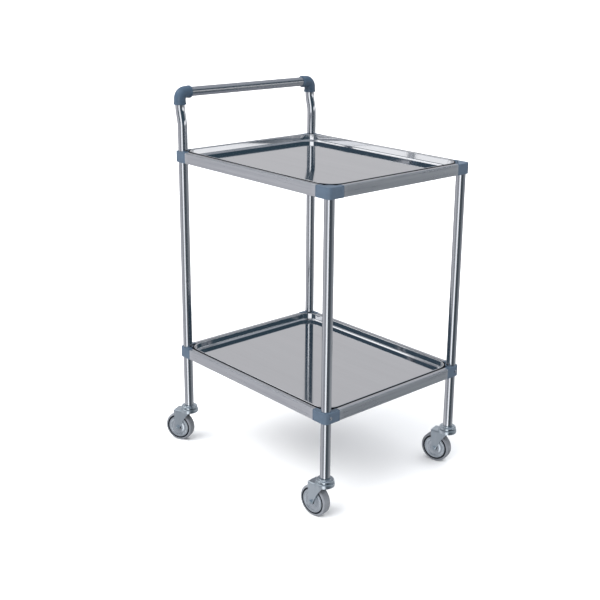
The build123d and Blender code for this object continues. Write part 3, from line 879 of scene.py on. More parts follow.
@dataclass
class ShelfFrame:
    """One shelf's four rails, four corner blocks and loose tray."""

    shelf: str
    rail_edge: float = 2.5 * MM
    rail_wall: float = 1.5 * MM
    rail_width: float = 14.0 * MM
    face_offset: float = 16.0 * MM
    arm_length: float = 30.0 * MM
    corner_radius: float = 12.0 * MM
    end_radius: float = 0.5 * MM
    boss_radius: float = 15.5 * MM
    socket_radius: float = 12.55 * MM
    lip: float = 0.8 * MM
    cap: float = 3.0 * MM
    spigot_length: float = 22.0 * MM
    spigot_slack: float = 0.15 * MM
    ledge_reach: float = 40.0 * MM
    sheet: float = 1.0 * MM
    rim_radius: float = 2.0 * MM
    tray_gap: float = 2.0 * MM
    corner_gap: float = 2.2 * MM
    tray_bend: float = 5.0 * MM
    draft: float = 1.2 * MM

    def rail(self, place: str) -> None:
        """Rectangular tube with rounded edges, its bore carried back inside it."""
        node = f"{self.shelf}_{place}_rail"
        low, high = box_of(node)
        size = high - low
        along = EAST if size[0] > size[1] else NORTH
        sideways = NORTH if size[0] > size[1] else EAST
        centre = (low + high) / 2
        half = np.array([size @ sideways, size[2]]) / 2
        outer = rounded_box(half, self.rail_edge, 5)
        bore = rounded_box(half - self.rail_wall, self.rail_edge - self.rail_wall, 5)
        run = np.linspace(-0.5, 0.5, 33)[:, None] * (size @ along) * along + centre
        skins = [
            run[:, None, :] + ring[None, :, :1] * sideways + ring[None, :, 1:] * UP
            for ring in (outer, bore)
        ]
        shell = Shell(np.concatenate([skins[0], skins[1][::-1]]), looped=True)
        finish = "rail_steel_x" if along is EAST else "rail_steel_y"
        build(f"{self.shelf}_{place}_bar", [shell], finish, node, "frame")

    def block(self, corner: str) -> None:
        """Corner moulding: an L outline round the post's socket, spigots and the tray's ledge.

        The wall is the outline carried up, drawn in along quarter circles at its top and bottom
        edge; the socket's ring has its points on the same bearings as the outline's.
        """
        node = f"{self.shelf}_{corner}_block"
        rail_low, rail_high = box_of(f"{self.shelf}_front_rail")
        base, top = rail_low[2], rail_high[2]
        axis = post_axis(corner)
        turn = {"front_right": (NORTH, -EAST), "front_left": (-EAST, -NORTH)}
        turn |= {"rear_right": (EAST, NORTH), "rear_left": (-NORTH, EAST)}
        first, second = turn[corner]

        def place(flat: Array, height: float) -> Array:
            """Puts points of the block's plan at a height."""
            return axis + flat[:, :1] * first + flat[:, 1:] * second + UP * height

        inner = self.rail_width - self.face_offset
        bearing = math.degrees(math.asin(inner / self.boss_radius))
        boss = arc((0, 0), self.boss_radius, bearing, 90 - bearing, 12)
        corners = np.array(
            [
                (inner, self.arm_length),
                (-self.face_offset, self.arm_length),
                (-self.face_offset, -self.face_offset),
                (self.arm_length, -self.face_offset),
                (self.arm_length, inner),
                boss[0],
                boss[-1],
            ]
        )
        small = self.end_radius
        steps = 10
        radii = [small, small, self.corner_radius, small, small, 0, 0]
        turned = rounded(corners, radii, steps)[: 5 * (steps + 3)]
        outline = densify(np.concatenate([boss, turned]), 1.6 * MM)
        quarter = np.radians(np.linspace(0, 90, 6))
        drawn = self.lip * (1 - np.sin(quarter))
        risen = self.lip * (1 - np.cos(quarter))
        walls = [place(inset(outline, d), base + r) for d, r in zip(drawn, risen)]
        walls += [place(inset(outline, d), top - r) for d, r in zip(drawn[::-1], risen[::-1])]
        bearings = np.unwrap(np.arctan2(outline[:, 1], outline[:, 0]))
        bearings = np.minimum(np.maximum.accumulate(bearings), bearings[0] + 2 * math.pi)
        bearings += np.linspace(0.0, 0.01, len(bearings)) - 0.01
        socket = self.socket_radius * np.stack([np.cos(bearings), np.sin(bearings)], axis=1)
        if self.shelf == "upper" and corner.startswith("front"):
            flat = place(inset(outline, self.lip + 0.3 * MM), top)
            inside = [place(socket, top - self.cap), place(socket, base)]
            shells = [Shell(np.stack([*inside, *walls, flat]))]
        else:
            inside = [place(socket, top), place(socket, base)]
            shells = [Shell(np.stack([*inside, *walls]), looped=True)]
        shells += self.spigots(place, base, top)
        shells.append(self.ledge(place, base, inner))
        name = f"{self.shelf}_{corner}_corner"
        build(name, shells, "corner_plastic", node, "frame", 46.0)

    def spigots(self, place: Callable[[Array, float], Array], base: float, top: float) -> list[Shell]:
        """Two tongues, one inside each rail, as rounded rectangles carried out along the arms.

        Args:
            place: Puts points of the block's plan at a height.
            base: Height of the block's underside.
            top: Height of its top.

        Returns:
            The two skins.
        """
        slim = self.rail_wall + self.spigot_slack
        half = np.array([self.rail_width / 2 - slim, (top - base) / 2 - slim])
        ring = rounded_box(half, self.rail_edge - self.rail_wall, 4)
        centre_line = self.rail_width / 2 - self.face_offset
        found = []
        for swap in (False, True):
            rings = []
            for reach in (self.arm_length - 1.0 * MM, self.arm_length + self.spigot_length):
                flat = np.stack([np.full(len(ring), reach), centre_line + ring[:, 0]], axis=1)
                flat = flat[:, ::-1] if swap else flat
                points = place(flat, 0.0)
                points[:, 2] += (base + top) / 2 + ring[:, 1]
                rings.append(points)
            found.append(Shell(np.stack(rings)))
        return found

    def ledge(self, place: Callable[[Array, float], Array], base: float, inner: float) -> Shell:
        """Quarter ring inside the corner that carries the tray.

        Args:
            place: Puts points of the block's plan at a height.
            base: Height of the block's underside.
            inner: Distance from the post's axis to the arms' inner faces.

        Returns:
            The ledge's skin.
        """
        tray_low, _ = box_of(f"{self.shelf}_tray")
        wide = math.degrees(math.asin(inner / self.ledge_reach))
        near = self.boss_radius - 0.6 * MM
        tight = math.degrees(math.asin(inner / near))
        rim = arc((0, 0), self.ledge_reach, wide, 90 - wide, 20)
        root = arc((0, 0), near, 90 - tight, tight, 12)
        plan = densify(np.concatenate([rim, root]), 3.0 * MM)
        return Shell(np.stack([place(plan, base + 0.2 * MM), place(plan, tray_low[2])]))

    def tray(self) -> None:
        """Pressed tray: flat floor, rounded bend, slightly leaning wall and a rim rolled outwards,
        with a thin near-black strip, painted shade, that fills the gap between the rim and the rails.

        Every ring is a rounded rectangle. Its distance in from the rim's edge and its height
        follow the sheet's section, first over the inside and then back over the outside.
        """
        node = f"{self.shelf}_tray"
        low, high = box_of(node)
        centre = (low + high) / 2 * (1, 1, 0)
        size = (high - low)[:2]
        rim_inset = self.rail_width + self.tray_gap - self.face_offset
        spare = self.boss_radius + self.corner_gap - rim_inset * math.sqrt(2)
        corner = spare / (math.sqrt(2) - 1)
        roll = self.rim_radius
        roll_height = high[2] - roll
        floor = low[2] + self.sheet
        inner_bend = self.tray_bend - self.sheet
        wall_in, wall_out = 2 * roll, 2 * roll - self.sheet
        foot_in, foot_out = wall_in + self.draft, wall_out + self.draft
        inside = [
            [(foot_in + inner_bend + 1.0 * MM, floor), (foot_in + inner_bend + 0.3 * MM, floor)],
            arc((foot_in + inner_bend, floor + inner_bend), inner_bend, 270, 180, 8),
            [(foot_in, floor + inner_bend + 0.4 * MM), (wall_in, roll_height - 0.4 * MM)],
            arc((roll, roll_height), roll, 0, 300, 24),
            [(wall_out, roll_height - roll), (foot_out, low[2] + self.tray_bend + 0.4 * MM)],
            arc((foot_out + self.tray_bend, low[2] + self.tray_bend), self.tray_bend, 180, 270, 8),
            [(foot_out + self.tray_bend + 0.3 * MM, low[2]), (foot_out + self.tray_bend + 1.0 * MM, low[2])],
        ]
        section = np.concatenate([np.asarray(part, float) for part in inside])
        # Section of the near-black strip under the rim's outer edge: painted shade in place of the shadow in
        # the gap.
        shade_strip_near, shade_strip_far, shade_strip_round = -0.2 * MM, -1.6 * MM, 0.3 * MM
        shade_strip_top, shade_strip_foot = high[2] - 0.3 * MM, high[2] - 4.0 * MM
        shade_strip_section = np.array(
            [
                (shade_strip_near, shade_strip_foot),
                (shade_strip_near, shade_strip_top - shade_strip_round),
                (shade_strip_near - shade_strip_round, shade_strip_top),
                (shade_strip_far + shade_strip_round, shade_strip_top),
                (shade_strip_far, shade_strip_top - shade_strip_round),
                (shade_strip_far, shade_strip_foot),
            ]
        )

        def loops(profile: Array) -> Array:
            """Carries a profile of depths and heights round the rim's outline."""
            rings = []
            for depth, height in profile:
                flat = rounded_box(size / 2 - depth, corner - depth, 16)
                rings.append(centre + np.column_stack([flat, np.full(len(flat), height)]))
            return np.stack(rings)

        body = f"{self.shelf}_tray_body"
        build(f"{self.shelf}_pan", [Shell(loops(section))], "tray_steel", node, body)
        # Painted shade: the near-black strip rides on the tray and stands for the shadow between the rim and
        # the rails.
        lip = Shell(loops(shade_strip_section), looped=True)
        build(f"{self.shelf}_tray_painted_shade_strip", [lip], "painted_shade_strip", (), body)

    def make(self) -> None:
        """Builds the whole shelf."""
        for place in ("right", "left", "front", "rear"):
            self.rail(place)
        for corner in CORNERS:
            self.block(corner)
        self.tray()


@dataclass
class CornerScrews:
    """Pan-head screws through the blocks into the posts, one group."""

    radius: float = 3.75 * MM
    height: float = 2.0 * MM
    shank: float = 2.0 * MM
    reach: float = 7.7 * MM
    recess_width: float = 1.0 * MM
    recess_depth: float = 0.9 * MM

    def screw(self, seat: Array, inward: Array) -> Shell:
        """One screw: a domed head with a cross recess on a plain shank.

        The head's height is a low dome of the radius; where a point lies within half the
        recess's width of either cross axis, the dome drops by the recess's depth, smoothly.

        Args:
            seat: Middle of the face under the head.
            inward: Unit vector into the post.

        Returns:
            The screw's skin.
        """
        angle = np.linspace(0, 2 * math.pi, 96, endpoint=False)
        side = np.cross(inward, UP)
        radii = np.concatenate([np.linspace(0.02, 0.92, 22), [0.97, 1.0, 1.0]]) * self.radius
        dome = self.height * np.sqrt(np.clip(1 - 0.55 * (radii / self.radius) ** 2, 0, 1))
        dome[-1] = 0.0
        across = radii[:, None] * np.cos(angle)
        upward = radii[:, None] * np.sin(angle)
        nearest = np.minimum(np.abs(across), np.abs(upward))
        inside = np.clip((self.recess_width / 2 - nearest) / (0.15 * MM) + 0.5, 0, 1)
        inside *= np.clip((0.62 * self.radius - radii[:, None]) / (0.2 * MM), 0, 1)
        height = dome[:, None] - self.recess_depth * inside
        head = seat + across[:, :, None] * side + upward[:, :, None] * UP - height[:, :, None] * inward
        pin = circle(self.shank, 96)
        shank = np.stack([seat + pin[:, :1] * side + pin[:, 1:] * UP + d * inward for d in (0.0, self.reach)])
        return Shell(np.concatenate([head, shank]))

    def make(self) -> None:
        """Builds a screw at every corner where the block lets its post through."""
        shells = []
        for shelf in SHELVES:
            face_low, _ = box_of(f"{shelf}_rear_rail")
            _, face_high = box_of(f"{shelf}_front_rail")
            for corner in CORNERS:
                front = corner.startswith("front")
                if shelf == "upper" and front:
                    continue
                seat = post_axis(corner)
                seat[0] = face_high[0] if front else face_low[0]
                seat[2] = middle_of(f"{shelf}_front_rail")[2]
                shells.append(self.screw(seat, -EAST if front else EAST))
        build("corner_screw_set", shells, "screw_steel", "corner_screws", "frame", 30.0)


# ---------------------------------------------------------------------------
# Castors
# ---------------------------------------------------------------------------


@dataclass
class Castor:
    """One swivel castor under a post."""

    corner: str
    tyre_half: float = 12.0 * MM
    tyre_shoulder: float = 5.0 * MM
    tyre_side: float = 5.7 * MM
    tyre_depth: float = 8.0 * MM
    rim_wall: float = 4.0 * MM
    rim_half: float = 11.0 * MM
    ring_width: float = 4.2 * MM
    hub_radius: float = 8.0 * MM
    disc_flat: float = 14.6 * MM
    disc_sheet: float = 1.0 * MM
    disc_rise: float = 1.6 * MM
    fork_sheet: float = 2.5 * MM
    fork_gap: float = 30.0 * MM
    fork_tail: float = 11.0 * MM
    fork_nose: float = 8.0 * MM
    eye_radius: float = 7.0 * MM
    waist: float = 3.5 * MM
    track_height: float = 8.2 * MM
    track_step: float = 2.0 * MM
    head_gap: float = 1.2 * MM
    groove_radius: float = 14.0 * MM
    stem_radius: float = 5.05 * MM
    axle_radius: float = 3.0 * MM
    hex_flats: float = 10.0 * MM
    head_height: float = 4.0 * MM
    nut_height: float = 5.0 * MM
    tip: float = 1.5 * MM

    def __post_init__(self) -> None:
        """Finds the swivel axis, the wheel's middle and the directions between them."""
        self.swivel = post_axis(self.corner)
        hub = middle_of(f"{self.corner}_castor_tyre")
        offset = (hub - self.swivel) * (1, 1, 0)
        self.trail = float(np.linalg.norm(offset))
        self.back = offset / self.trail
        self.side = np.cross(self.back, UP)
        self.spin = Axle(hub, self.side, UP)
        self.king = Axle(self.swivel, UP, self.back)
        self.wheel_radius = float(hub[2])
        self.ring_outer = self.wheel_radius - self.tyre_side
        self.disc_radius = self.ring_outer - self.ring_width
        self.seat_radius = self.wheel_radius - self.tyre_depth
        self.bore_radius = self.seat_radius - self.rim_wall
        cup_low, cup_high = box_of(f"{self.corner}_castor_cup")
        self.cup_base, self.cup_top = cup_low[2], cup_high[2]
        self.cup_radius = (cup_high[0] - cup_low[0]) / 2
        self.track_top = self.cup_base - self.head_gap
        self.crown_top = self.track_top - self.track_height
        self.ball_height = self.track_top + self.head_gap / 2

    def piece(self, part: str, shells: Sequence[Shell], finish: str, slot: str, crease: float = 38.0) -> None:
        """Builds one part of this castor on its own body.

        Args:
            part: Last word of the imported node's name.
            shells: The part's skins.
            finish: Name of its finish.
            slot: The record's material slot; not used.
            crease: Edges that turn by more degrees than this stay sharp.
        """
        turning = {"wheel", "tyre", "guards"}
        body = "frame" if part == "cup" else f"{self.corner}_{'wheel' if part in turning else 'swivel'}"
        build(f"{self.corner}_{part}", shells, finish, f"{self.corner}_castor_{part}", body, crease)

    def cup(self) -> None:
        """Fixed upper cup: a collar round the post, a rounded step and a ball groove below."""
        reach, base, top = self.cup_radius, self.cup_base, self.cup_top
        ball = 2.6 * MM
        bearing = math.degrees(math.asin((base - self.ball_height) / ball))
        profile = np.concatenate(
            [
                [(self.stem_radius, base), (self.stem_radius, top), (15.4 * MM, top)],
                arc((15.4 * MM, top - 1.0 * MM), 1.0 * MM, 85, 0, 5),
                arc((17.3 * MM, top - 1.9 * MM), 0.8 * MM, 180, 265, 4),
                arc((reach - 3.4 * MM, top - 6.1 * MM), 3.4 * MM, 85, 0, 8),
                [(reach, base + 0.9 * MM), (reach - 0.2 * MM, base + 0.35 * MM), (reach - 0.8 * MM, base)],
                arc((self.groove_radius, self.ball_height), ball, bearing, 180 - bearing, 8),
            ]
        )
        rings = self.king.turn(profile, 96)
        self.piece("cup", [Shell(rings, looped=True)], "zinc_turned", "zinc_plate")

    def fork(self) -> None:
        """Pressed fork: the sheet carried from one eye over the crown to the other, and the track.

        The path runs up one leg, round a bend, across the crown and down the other leg. At each
        station the sheet reaches from its front edge to its rear edge. Below the axle both edges
        follow the eye's circle; above it the rear edge is straight and the front edge an arc.
        """
        outer_half = self.fork_gap / 2 + self.fork_sheet
        half = outer_half - self.fork_sheet / 2
        under = self.crown_top - self.fork_sheet
        bend = 3.2 * MM
        axle = self.wheel_radius
        dip = np.radians(np.linspace(86, 0, 14))
        eye = axle - self.eye_radius * np.sin(dip)
        leg = np.linspace(axle, self.crown_top - self.fork_sheet / 2 - bend, 22)[1:]
        up = np.concatenate([eye, leg])
        side_y = np.full(len(up), half)
        turn = arc((half - bend, up[-1]), bend, 0, 90, 6)[1:]
        crown = np.linspace(half - bend, -(half - bend), 13)[1:-1]
        left_y = np.concatenate([side_y, turn[:, 0], crown])
        left_z = np.concatenate([up, turn[:, 1], np.full(len(crown), turn[-1, 1])])
        path_y = np.concatenate([left_y, -turn[::-1, 0], -side_y[::-1]])
        path_z = np.concatenate([left_z, turn[::-1, 1], up[::-1]])
        below = np.clip((axle - path_z) / self.eye_radius, 0, 0.998)
        eye_half = self.eye_radius * np.sqrt(1 - below**2)
        share = np.clip((path_z - axle) / (under - axle), 0, 1)
        curve = 4 * self.waist * share * (1 - share)
        front_run = share * (self.eye_radius - self.trail - self.fork_nose) + curve
        rear_run = share * (self.fork_tail - self.eye_radius)
        front_edge = self.trail - self.eye_radius + front_run
        rear_edge = self.trail + self.eye_radius + rear_run
        front = np.where(path_z < axle, self.trail - eye_half, front_edge)
        rear = np.where(path_z < axle, self.trail + eye_half, rear_edge)
        path = self.swivel + path_y[:, None] * self.side + path_z[:, None] * UP
        tangent = np.gradient(path, axis=0)
        tangent /= np.linalg.norm(tangent, axis=1, keepdims=True)
        outward = np.cross(tangent, self.back)
        core = 1.0 * MM
        unit = rounded_box(np.array([core, self.fork_sheet / 2]), 0.5 * MM, 4)
        spare = np.abs(unit[:, 0]) - core
        along = np.where(unit[:, 0] < 0, front[:, None] - spare, rear[:, None] + spare)
        through = unit[None, :, 1:] * outward[:, None, :]
        legs = Shell(path[:, None, :] + along[:, :, None] * self.back + through)
        self.piece("fork", [legs, self.track(under)], "zinc_plate", "zinc_plate")

    def track(self, under: float) -> Shell:
        """Turned ball track on the crown: a groove above, rounded outside.

        Args:
            under: Height of the crown's underside.

        Returns:
            The track's skin.
        """
        track_radius = self.cup_radius + self.track_step
        ball = 2.8 * MM
        dip = math.degrees(math.asin((self.track_top - self.ball_height) / ball))
        track = np.concatenate(
            [
                [(self.stem_radius, under), (self.stem_radius, self.track_top)],
                arc((self.groove_radius, self.ball_height), ball, 180 - dip, 360 + dip, 8),
                [(track_radius - 4.6 * MM, self.track_top)],
                arc((track_radius - 4.1 * MM, self.track_top - 4.1 * MM), 4.1 * MM, 85, 0, 8),
                [(track_radius, self.crown_top - 0.4 * MM)],
                [(track_radius - 0.3 * MM, under + 0.3 * MM), (track_radius - 0.8 * MM, under)],
            ]
        )
        return Shell(self.king.turn(track, 96), looped=True)

    def axle(self) -> None:
        """Axle bolt: chamfered hexagon head, plain shank and a threaded tip.

        The tip's radius falls by a triangle wave of the length along it, one thread a
        millimetre and a quarter.
        """
        outer = self.fork_gap / 2 + self.fork_sheet
        far = -(outer + self.nut_height + self.tip)
        flats = self.hex_flats
        head = np.array(
            [
                (flats * 0.40, outer + self.head_height),
                (flats * 0.46, outer + self.head_height),
                (flats * 0.50, outer + self.head_height - 0.15 * MM),
                (flats * 0.58, outer + self.head_height - 1.1 * MM),
                (flats * 0.60, outer + 0.2 * MM),
                (flats * 0.56, outer),
            ]
        )
        length = np.linspace(-outer - 0.2 * MM, far + 0.4 * MM, 60)
        wave = np.abs(np.mod(length / (1.25 * MM), 1.0) - 0.5) * 2
        thread = np.stack([self.axle_radius - 0.55 * MM * wave, length], axis=1)
        tip = [(self.axle_radius - 0.9 * MM, far)]
        profile = np.concatenate([head, [(self.axle_radius, outer)], thread, tip])
        rings = self.spin.turn(profile, 96, hexagon(flats))
        self.piece("axle", [Shell(rings)], "zinc_plate", "zinc_plate", 25.0)

    def nut(self) -> None:
        """Nut: a hexagon chamfered on both sides, with the bolt's hole through it."""
        outer = -(self.fork_gap / 2 + self.fork_sheet)
        flats = self.hex_flats
        far = outer - self.nut_height
        profile = np.array(
            [
                (self.axle_radius + 0.05 * MM, outer),
                (flats * 0.52, outer),
                (flats * 0.60, outer - 0.7 * MM),
                (flats * 0.60, far + 0.9 * MM),
                (flats * 0.51, far),
                (self.axle_radius + 0.5 * MM, far),
                (self.axle_radius + 0.05 * MM, far + 0.5 * MM),
            ]
        )
        rings = self.spin.turn(profile, 96, hexagon(flats))
        self.piece("nut", [Shell(rings, looped=True)], "zinc_plate", "zinc_plate", 25.0)

    def wheel(self) -> None:
        """Wheel centre: hub, thin web and the black rim that shows as a ring beside the tyre."""
        hub = self.fork_gap / 2 - 0.3 * MM
        bore = self.axle_radius + 0.05 * MM
        web = 3.0 * MM
        flange = self.tyre_half - self.rim_half + self.disc_sheet
        half = np.concatenate(
            [
                [(bore, 0.0), (bore, hub - 0.5 * MM), (bore + 0.5 * MM, hub)],
                [(self.hub_radius - 0.6 * MM, hub), (self.hub_radius, hub - 0.6 * MM)],
                [(self.hub_radius, web), (self.bore_radius, web)],
                [(self.bore_radius, self.rim_half - 0.3 * MM), (self.bore_radius + 0.3 * MM, self.rim_half)],
                arc((self.ring_outer - 0.7 * MM, self.rim_half - 0.7 * MM), 0.7 * MM, 90, 0, 5),
                [(self.ring_outer, self.rim_half - flange), (self.seat_radius, self.rim_half - flange)],
                [(self.seat_radius, 0.0)],
            ]
        )
        profile = np.concatenate([half, half[-2:0:-1] * (1, -1)])
        self.piece("wheel", [Shell(self.spin.turn(profile), looped=True)], "black_ring", "wheel_body")

    def tyre(self) -> None:
        """Rubber tyre: crowned tread, a moulding line at each shoulder and flat side walls."""
        shoulder = self.tyre_shoulder
        side = self.ring_outer + 0.05 * MM
        half = self.tyre_half
        groove = self.rim_half - (half - self.rim_half + self.disc_sheet) - 0.05 * MM
        round_over = arc((self.wheel_radius - shoulder, half - shoulder), shoulder, 90, 12, 10)
        line = self.wheel_radius - 0.12 * MM
        end = half - shoulder
        groove_line = line - 0.35 * MM
        outline = np.concatenate(
            [
                [(self.seat_radius + 0.05 * MM, 0.0), (self.seat_radius + 0.05 * MM, groove), (side, groove)],
                [(side, half - 0.3 * MM), (side + 0.3 * MM, half)],
                round_over,
                [(groove_line, end - 0.1 * MM), (groove_line, end - 0.5 * MM), (line, end - 0.7 * MM)],
                [(self.wheel_radius - 0.03 * MM, 2.5 * MM), (self.wheel_radius, 0.0)],
            ]
        )
        profile = np.concatenate([outline, outline[-2:0:-1] * (1, -1)])
        self.piece("tyre", [Shell(self.spin.turn(profile, 120), looped=True)], "grey_rubber", "grey_tyre")

    def guards(self) -> None:
        """Cover disc on each side: flat edge bead, a groove, a coned dish and a raised ring."""
        edge = self.rim_half
        top = self.disc_sheet
        crest = edge + self.disc_rise
        inner = self.hub_radius + 0.05 * MM
        flat, rim = self.disc_flat, self.disc_radius
        outside = np.concatenate(
            [
                [(inner, crest + 0.2 * MM), (inner + 0.4 * MM, crest + top)],
                [(flat - 1.4 * MM, crest + top), (flat - 0.7 * MM, crest + top - 0.1 * MM)],
                [(flat + 1.3 * MM, crest + top - 0.75 * MM), (flat + 3.4 * MM, edge + top + 0.1 * MM)],
                [(flat + 4.4 * MM, edge + top - 0.15 * MM), (rim - 8.2 * MM, edge + top - 0.2 * MM)],
                arc((rim - 5.6 * MM, edge + top - 0.6 * MM), 1.6 * MM, 150, 30, 8),
                [(rim - 3.1 * MM, edge + top - 0.15 * MM), (rim - 2.2 * MM, edge + top - 0.1 * MM)],
                arc((rim - 0.9 * MM, edge + top - 0.8 * MM), 0.8 * MM, 90, 0, 5),
                [(rim - 0.1 * MM, edge)],
            ]
        )
        inside = np.array(
            [
                (rim - 2.5 * MM, edge),
                (flat + 2.9 * MM, edge),
                (flat + 1.0 * MM, crest - 0.2 * MM),
                (inner, crest),
            ]
        )
        profile = np.concatenate([outside, inside])
        shells = [Shell(self.spin.turn(profile * (1, sign), 96), looped=True) for sign in (1, -1)]
        self.piece("guards", shells, "disc_turned", "wheel_cover")

    def make(self) -> None:
        """Builds the castor."""
        for step in (self.cup, self.fork, self.axle, self.nut, self.wheel, self.tyre, self.guards):
            step()


def dress_hidden_nodes() -> None:
    """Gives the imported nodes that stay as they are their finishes: stems, plugs and balls."""
    finishes = {"castor_balls": "ball_steel", "post_plugs": "plug_plastic"}
    finishes |= {f"{corner}_castor_stem": "zinc_plate" for corner in CORNERS}
    for node, finish in finishes.items():
        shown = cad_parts[node]
        for place in shown.material_slots:
            place.material = Paint.get(finish)
        LOG.info("%s: dressed in %s", node, finish)


# ---------------------------------------------------------------------------
# Studio
# ---------------------------------------------------------------------------


@dataclass
class Studio:
    """Camera, pale floor, soft lights and the surround that the bright metal mirrors."""

    bearing: float = -42.4
    stand: tuple[float, float, float] = (1.8985, -1.7379, 1.3005)
    yaw: float = 47.99
    pitch: float = -16.32
    roll: float = 0.62
    lens: float = 61.36
    shift_x: float = -0.0167
    shift_y: float = -0.0649

    def camera(self) -> None:
        """Sets up the camera from its stand beside the posts' middle, heading, dip and lean."""
        data = bpy.data.cameras.new("camera")
        data.lens = self.lens
        data.shift_x, data.shift_y = self.shift_x, self.shift_y
        data.dof.use_dof = False
        data.clip_start, data.clip_end = 0.05, 500.0
        shooter = bpy.data.objects.new("camera", data)
        bpy.context.scene.collection.objects.link(shooter)
        yaw, pitch, roll = (math.radians(angle) for angle in (self.yaw, self.pitch, self.roll))
        right = np.array((math.cos(yaw), math.sin(yaw), 0.0))
        ahead = np.array((-math.sin(yaw) * math.cos(pitch), math.cos(yaw) * math.cos(pitch), math.sin(pitch)))
        above = np.cross(right, ahead)
        leant_right = right * math.cos(roll) + above * math.sin(roll)
        leant_above = above * math.cos(roll) - right * math.sin(roll)
        turned = Matrix(np.stack([leant_right, leant_above, -ahead], axis=1).tolist()).to_4x4()
        centre = sum(post_axis(corner) for corner in CORNERS) / len(CORNERS)
        place = centre + self.stand
        shooter.matrix_world = Matrix.Translation(Vector(place)) @ turned
        bpy.context.scene.camera = shooter

    def floor(self) -> None:
        """Large pale floor; bright metal mirrors the surround in its stead."""
        reach = 150.0
        mesh = bpy.data.meshes.new("floor")
        corners = [(-reach, -reach, 0), (reach, -reach, 0), (reach, reach, 0), (-reach, reach, 0)]
        mesh.from_pydata(corners, [], [(0, 1, 2, 3)])
        material, graph, shader = new_material("floor_pale")
        mottle = graph.noise(graph.stretched((2.0, 2.0, 2.0)), 1.0, 2.0)
        tone = graph.blend(graph.spread(mottle, 0.0, 1.0), (0.90, 0.90, 0.90), (0.915, 0.915, 0.915))
        graph.feed(shader.inputs["Base Color"], tone)
        shader.inputs["Roughness"].default_value = 0.9
        shader.inputs["Specular IOR Level"].default_value = 0.0
        mesh.materials.append(material)
        ground = bpy.data.objects.new("floor", mesh)
        bpy.context.scene.collection.objects.link(ground)
        ground.visible_glossy = False

    def surround(self) -> None:
        """World colour by direction: a tall bright panel left of the camera, dark to its right,
        pale grey behind the cart, a low bright band at each side and a softer panel higher up."""
        world = bpy.data.worlds.new("surround")
        bpy.context.scene.world = world
        world.use_nodes = True
        graph = Graph(world.node_tree)
        direction = graph.node("TexCoord").outputs["Generated"]
        bearing = math.radians(self.bearing)
        toward = (math.cos(bearing), math.sin(bearing), 0.0)
        beside = (-math.sin(bearing), math.cos(bearing), 0.0)
        ahead = graph.vector("DOT_PRODUCT", direction, toward).outputs["Value"]
        aside = graph.vector("DOT_PRODUCT", direction, beside).outputs["Value"]
        angle = graph.math("ARCTAN2", aside, ahead)
        turn = graph.math("MULTIPLY_ADD", angle, 1 / (2 * math.pi), 0.5)
        rise = graph.node("SeparateXYZ")
        graph.feed(rise.inputs[0], direction)
        height = rise.outputs["Z"]

        def at(degrees: float) -> float:
            """Place on the ramp of a bearing from the camera, positive to its right."""
            return degrees / 360.0 + 0.5

        low = graph.ramp(
            turn,
            [
                (at(-180), (0.36, 0.36, 0.39)),
                (at(-130), (0.42, 0.42, 0.45)),
                (at(-95), (0.62, 0.62, 0.65)),
                (at(-60), (0.40, 0.41, 0.44)),
                (at(-34), (0.30, 0.31, 0.34)),
                (at(8), (0.07, 0.085, 0.10)),
                (at(50), (0.085, 0.10, 0.115)),
                (at(80), (0.26, 0.28, 0.30)),
                (at(120), (0.40, 0.41, 0.43)),
                (at(180), (0.36, 0.36, 0.39)),
            ],
        )
        high = graph.ramp(
            turn,
            [
                (at(-180), (0.56, 0.56, 0.58)),
                (at(-145), (0.50, 0.51, 0.54)),
                (at(-120), (0.05, 0.08, 0.11)),
                (at(120), (0.04, 0.07, 0.095)),
                (at(145), (0.50, 0.51, 0.54)),
                (at(180), (0.56, 0.56, 0.58)),
            ],
        )

        colour = graph.blend(graph.step(height, -0.03, 0.05), low, high)
        colour = graph.blend(graph.step(height, 0.50, 0.68), colour, (0.44, 0.47, 0.52))
        panels = [
            (-14.0, 14.0, -1.1, 0.40, (1.35, 1.37, 1.40)),
            (-95.0, 34.0, 0.0, 0.142, (1.15, 1.16, 1.18)),
            (90.0, 34.0, 0.0, 0.142, (1.15, 1.16, 1.18)),
            (-95.0, 40.0, 0.62, 0.80, (1.6, 1.6, 1.62)),
        ]
        for centre, reach, base, top, tone in panels:
            away = graph.math("ABSOLUTE", graph.math("SUBTRACT", angle, math.radians(centre)))
            edge = math.radians(reach)
            inside = graph.step(away, edge + 0.09, edge - 0.03)
            above = graph.step(height, base - 0.03, base + 0.02)
            below = graph.step(height, top + 0.03, top - 0.02)
            mask = graph.math("MULTIPLY", inside, graph.math("MULTIPLY", above, below))
            colour = graph.blend(mask, colour, tone)
        back = graph.node("Background")
        graph.feed(back.inputs["Color"], colour)
        back.inputs["Strength"].default_value = 1.0
        output = graph.node("OutputWorld")
        graph.feed(output.inputs["Surface"], back.outputs["Background"])

    def lamp(self, name: str, energy: float, size: float, bearing: float, rise: float) -> None:
        """Adds one soft sun.

        Args:
            name: The lamp's name.
            energy: Its strength.
            size: Its angle as seen from the cart, in degrees.
            bearing: Direction it shines from, degrees from +X.
            rise: Degrees above the floor.
        """
        data = bpy.data.lights.new(name, "SUN")
        data.energy = energy
        data.angle = math.radians(size)
        sun = bpy.data.objects.new(name, data)
        sun.visible_glossy = False
        bpy.context.scene.collection.objects.link(sun)
        turn, lift = math.radians(bearing), math.radians(rise)
        source = Vector((math.cos(turn) * math.cos(lift), math.sin(turn) * math.cos(lift), math.sin(lift)))
        sun.matrix_world = source.to_track_quat("Z", "Y").to_matrix().to_4x4()

    def make(self) -> None:
        """Builds the studio."""
        self.camera()
        self.floor()
        self.surround()
        self.lamp("key_light", 3.2, 60.0, self.bearing - 58.0, 40.0)
        self.lamp("fill_light", 3.0, 110.0, self.bearing + 60.0, 80.0)
        bpy.context.scene.view_settings.view_transform = "Standard"


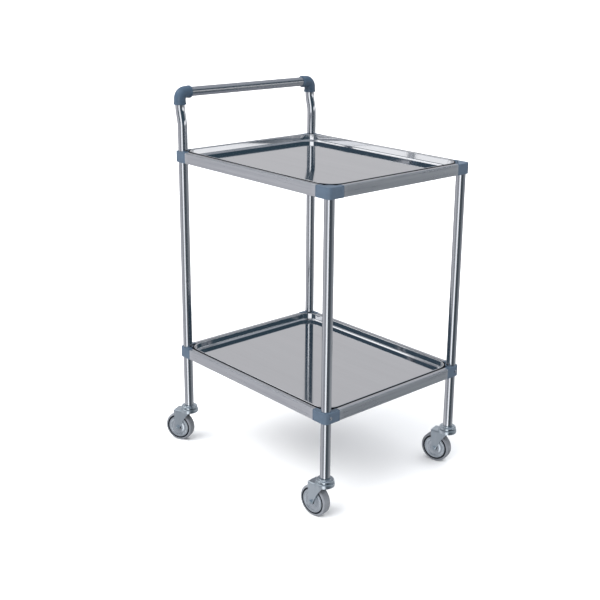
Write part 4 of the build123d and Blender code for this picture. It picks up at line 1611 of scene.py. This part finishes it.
def main() -> None:
    """Builds the studio and the cart, piece by piece."""
    logging.basicConfig(level=logging.INFO, format="%(name)s %(message)s")
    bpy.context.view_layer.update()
    Studio().make()
    uprights = Uprights()
    for corner in CORNERS:
        (uprights.front_post if corner.startswith("front") else uprights.rear_post)(corner)
    uprights.grip()
    for side in ("right", "left"):
        uprights.elbow(side)
    for shelf in SHELVES:
        ShelfFrame(shelf).make()
    CornerScrews().make()
    for corner in CORNERS:
        Castor(corner).make()
    dress_hidden_nodes()


if __name__ == "__main__":
    main()
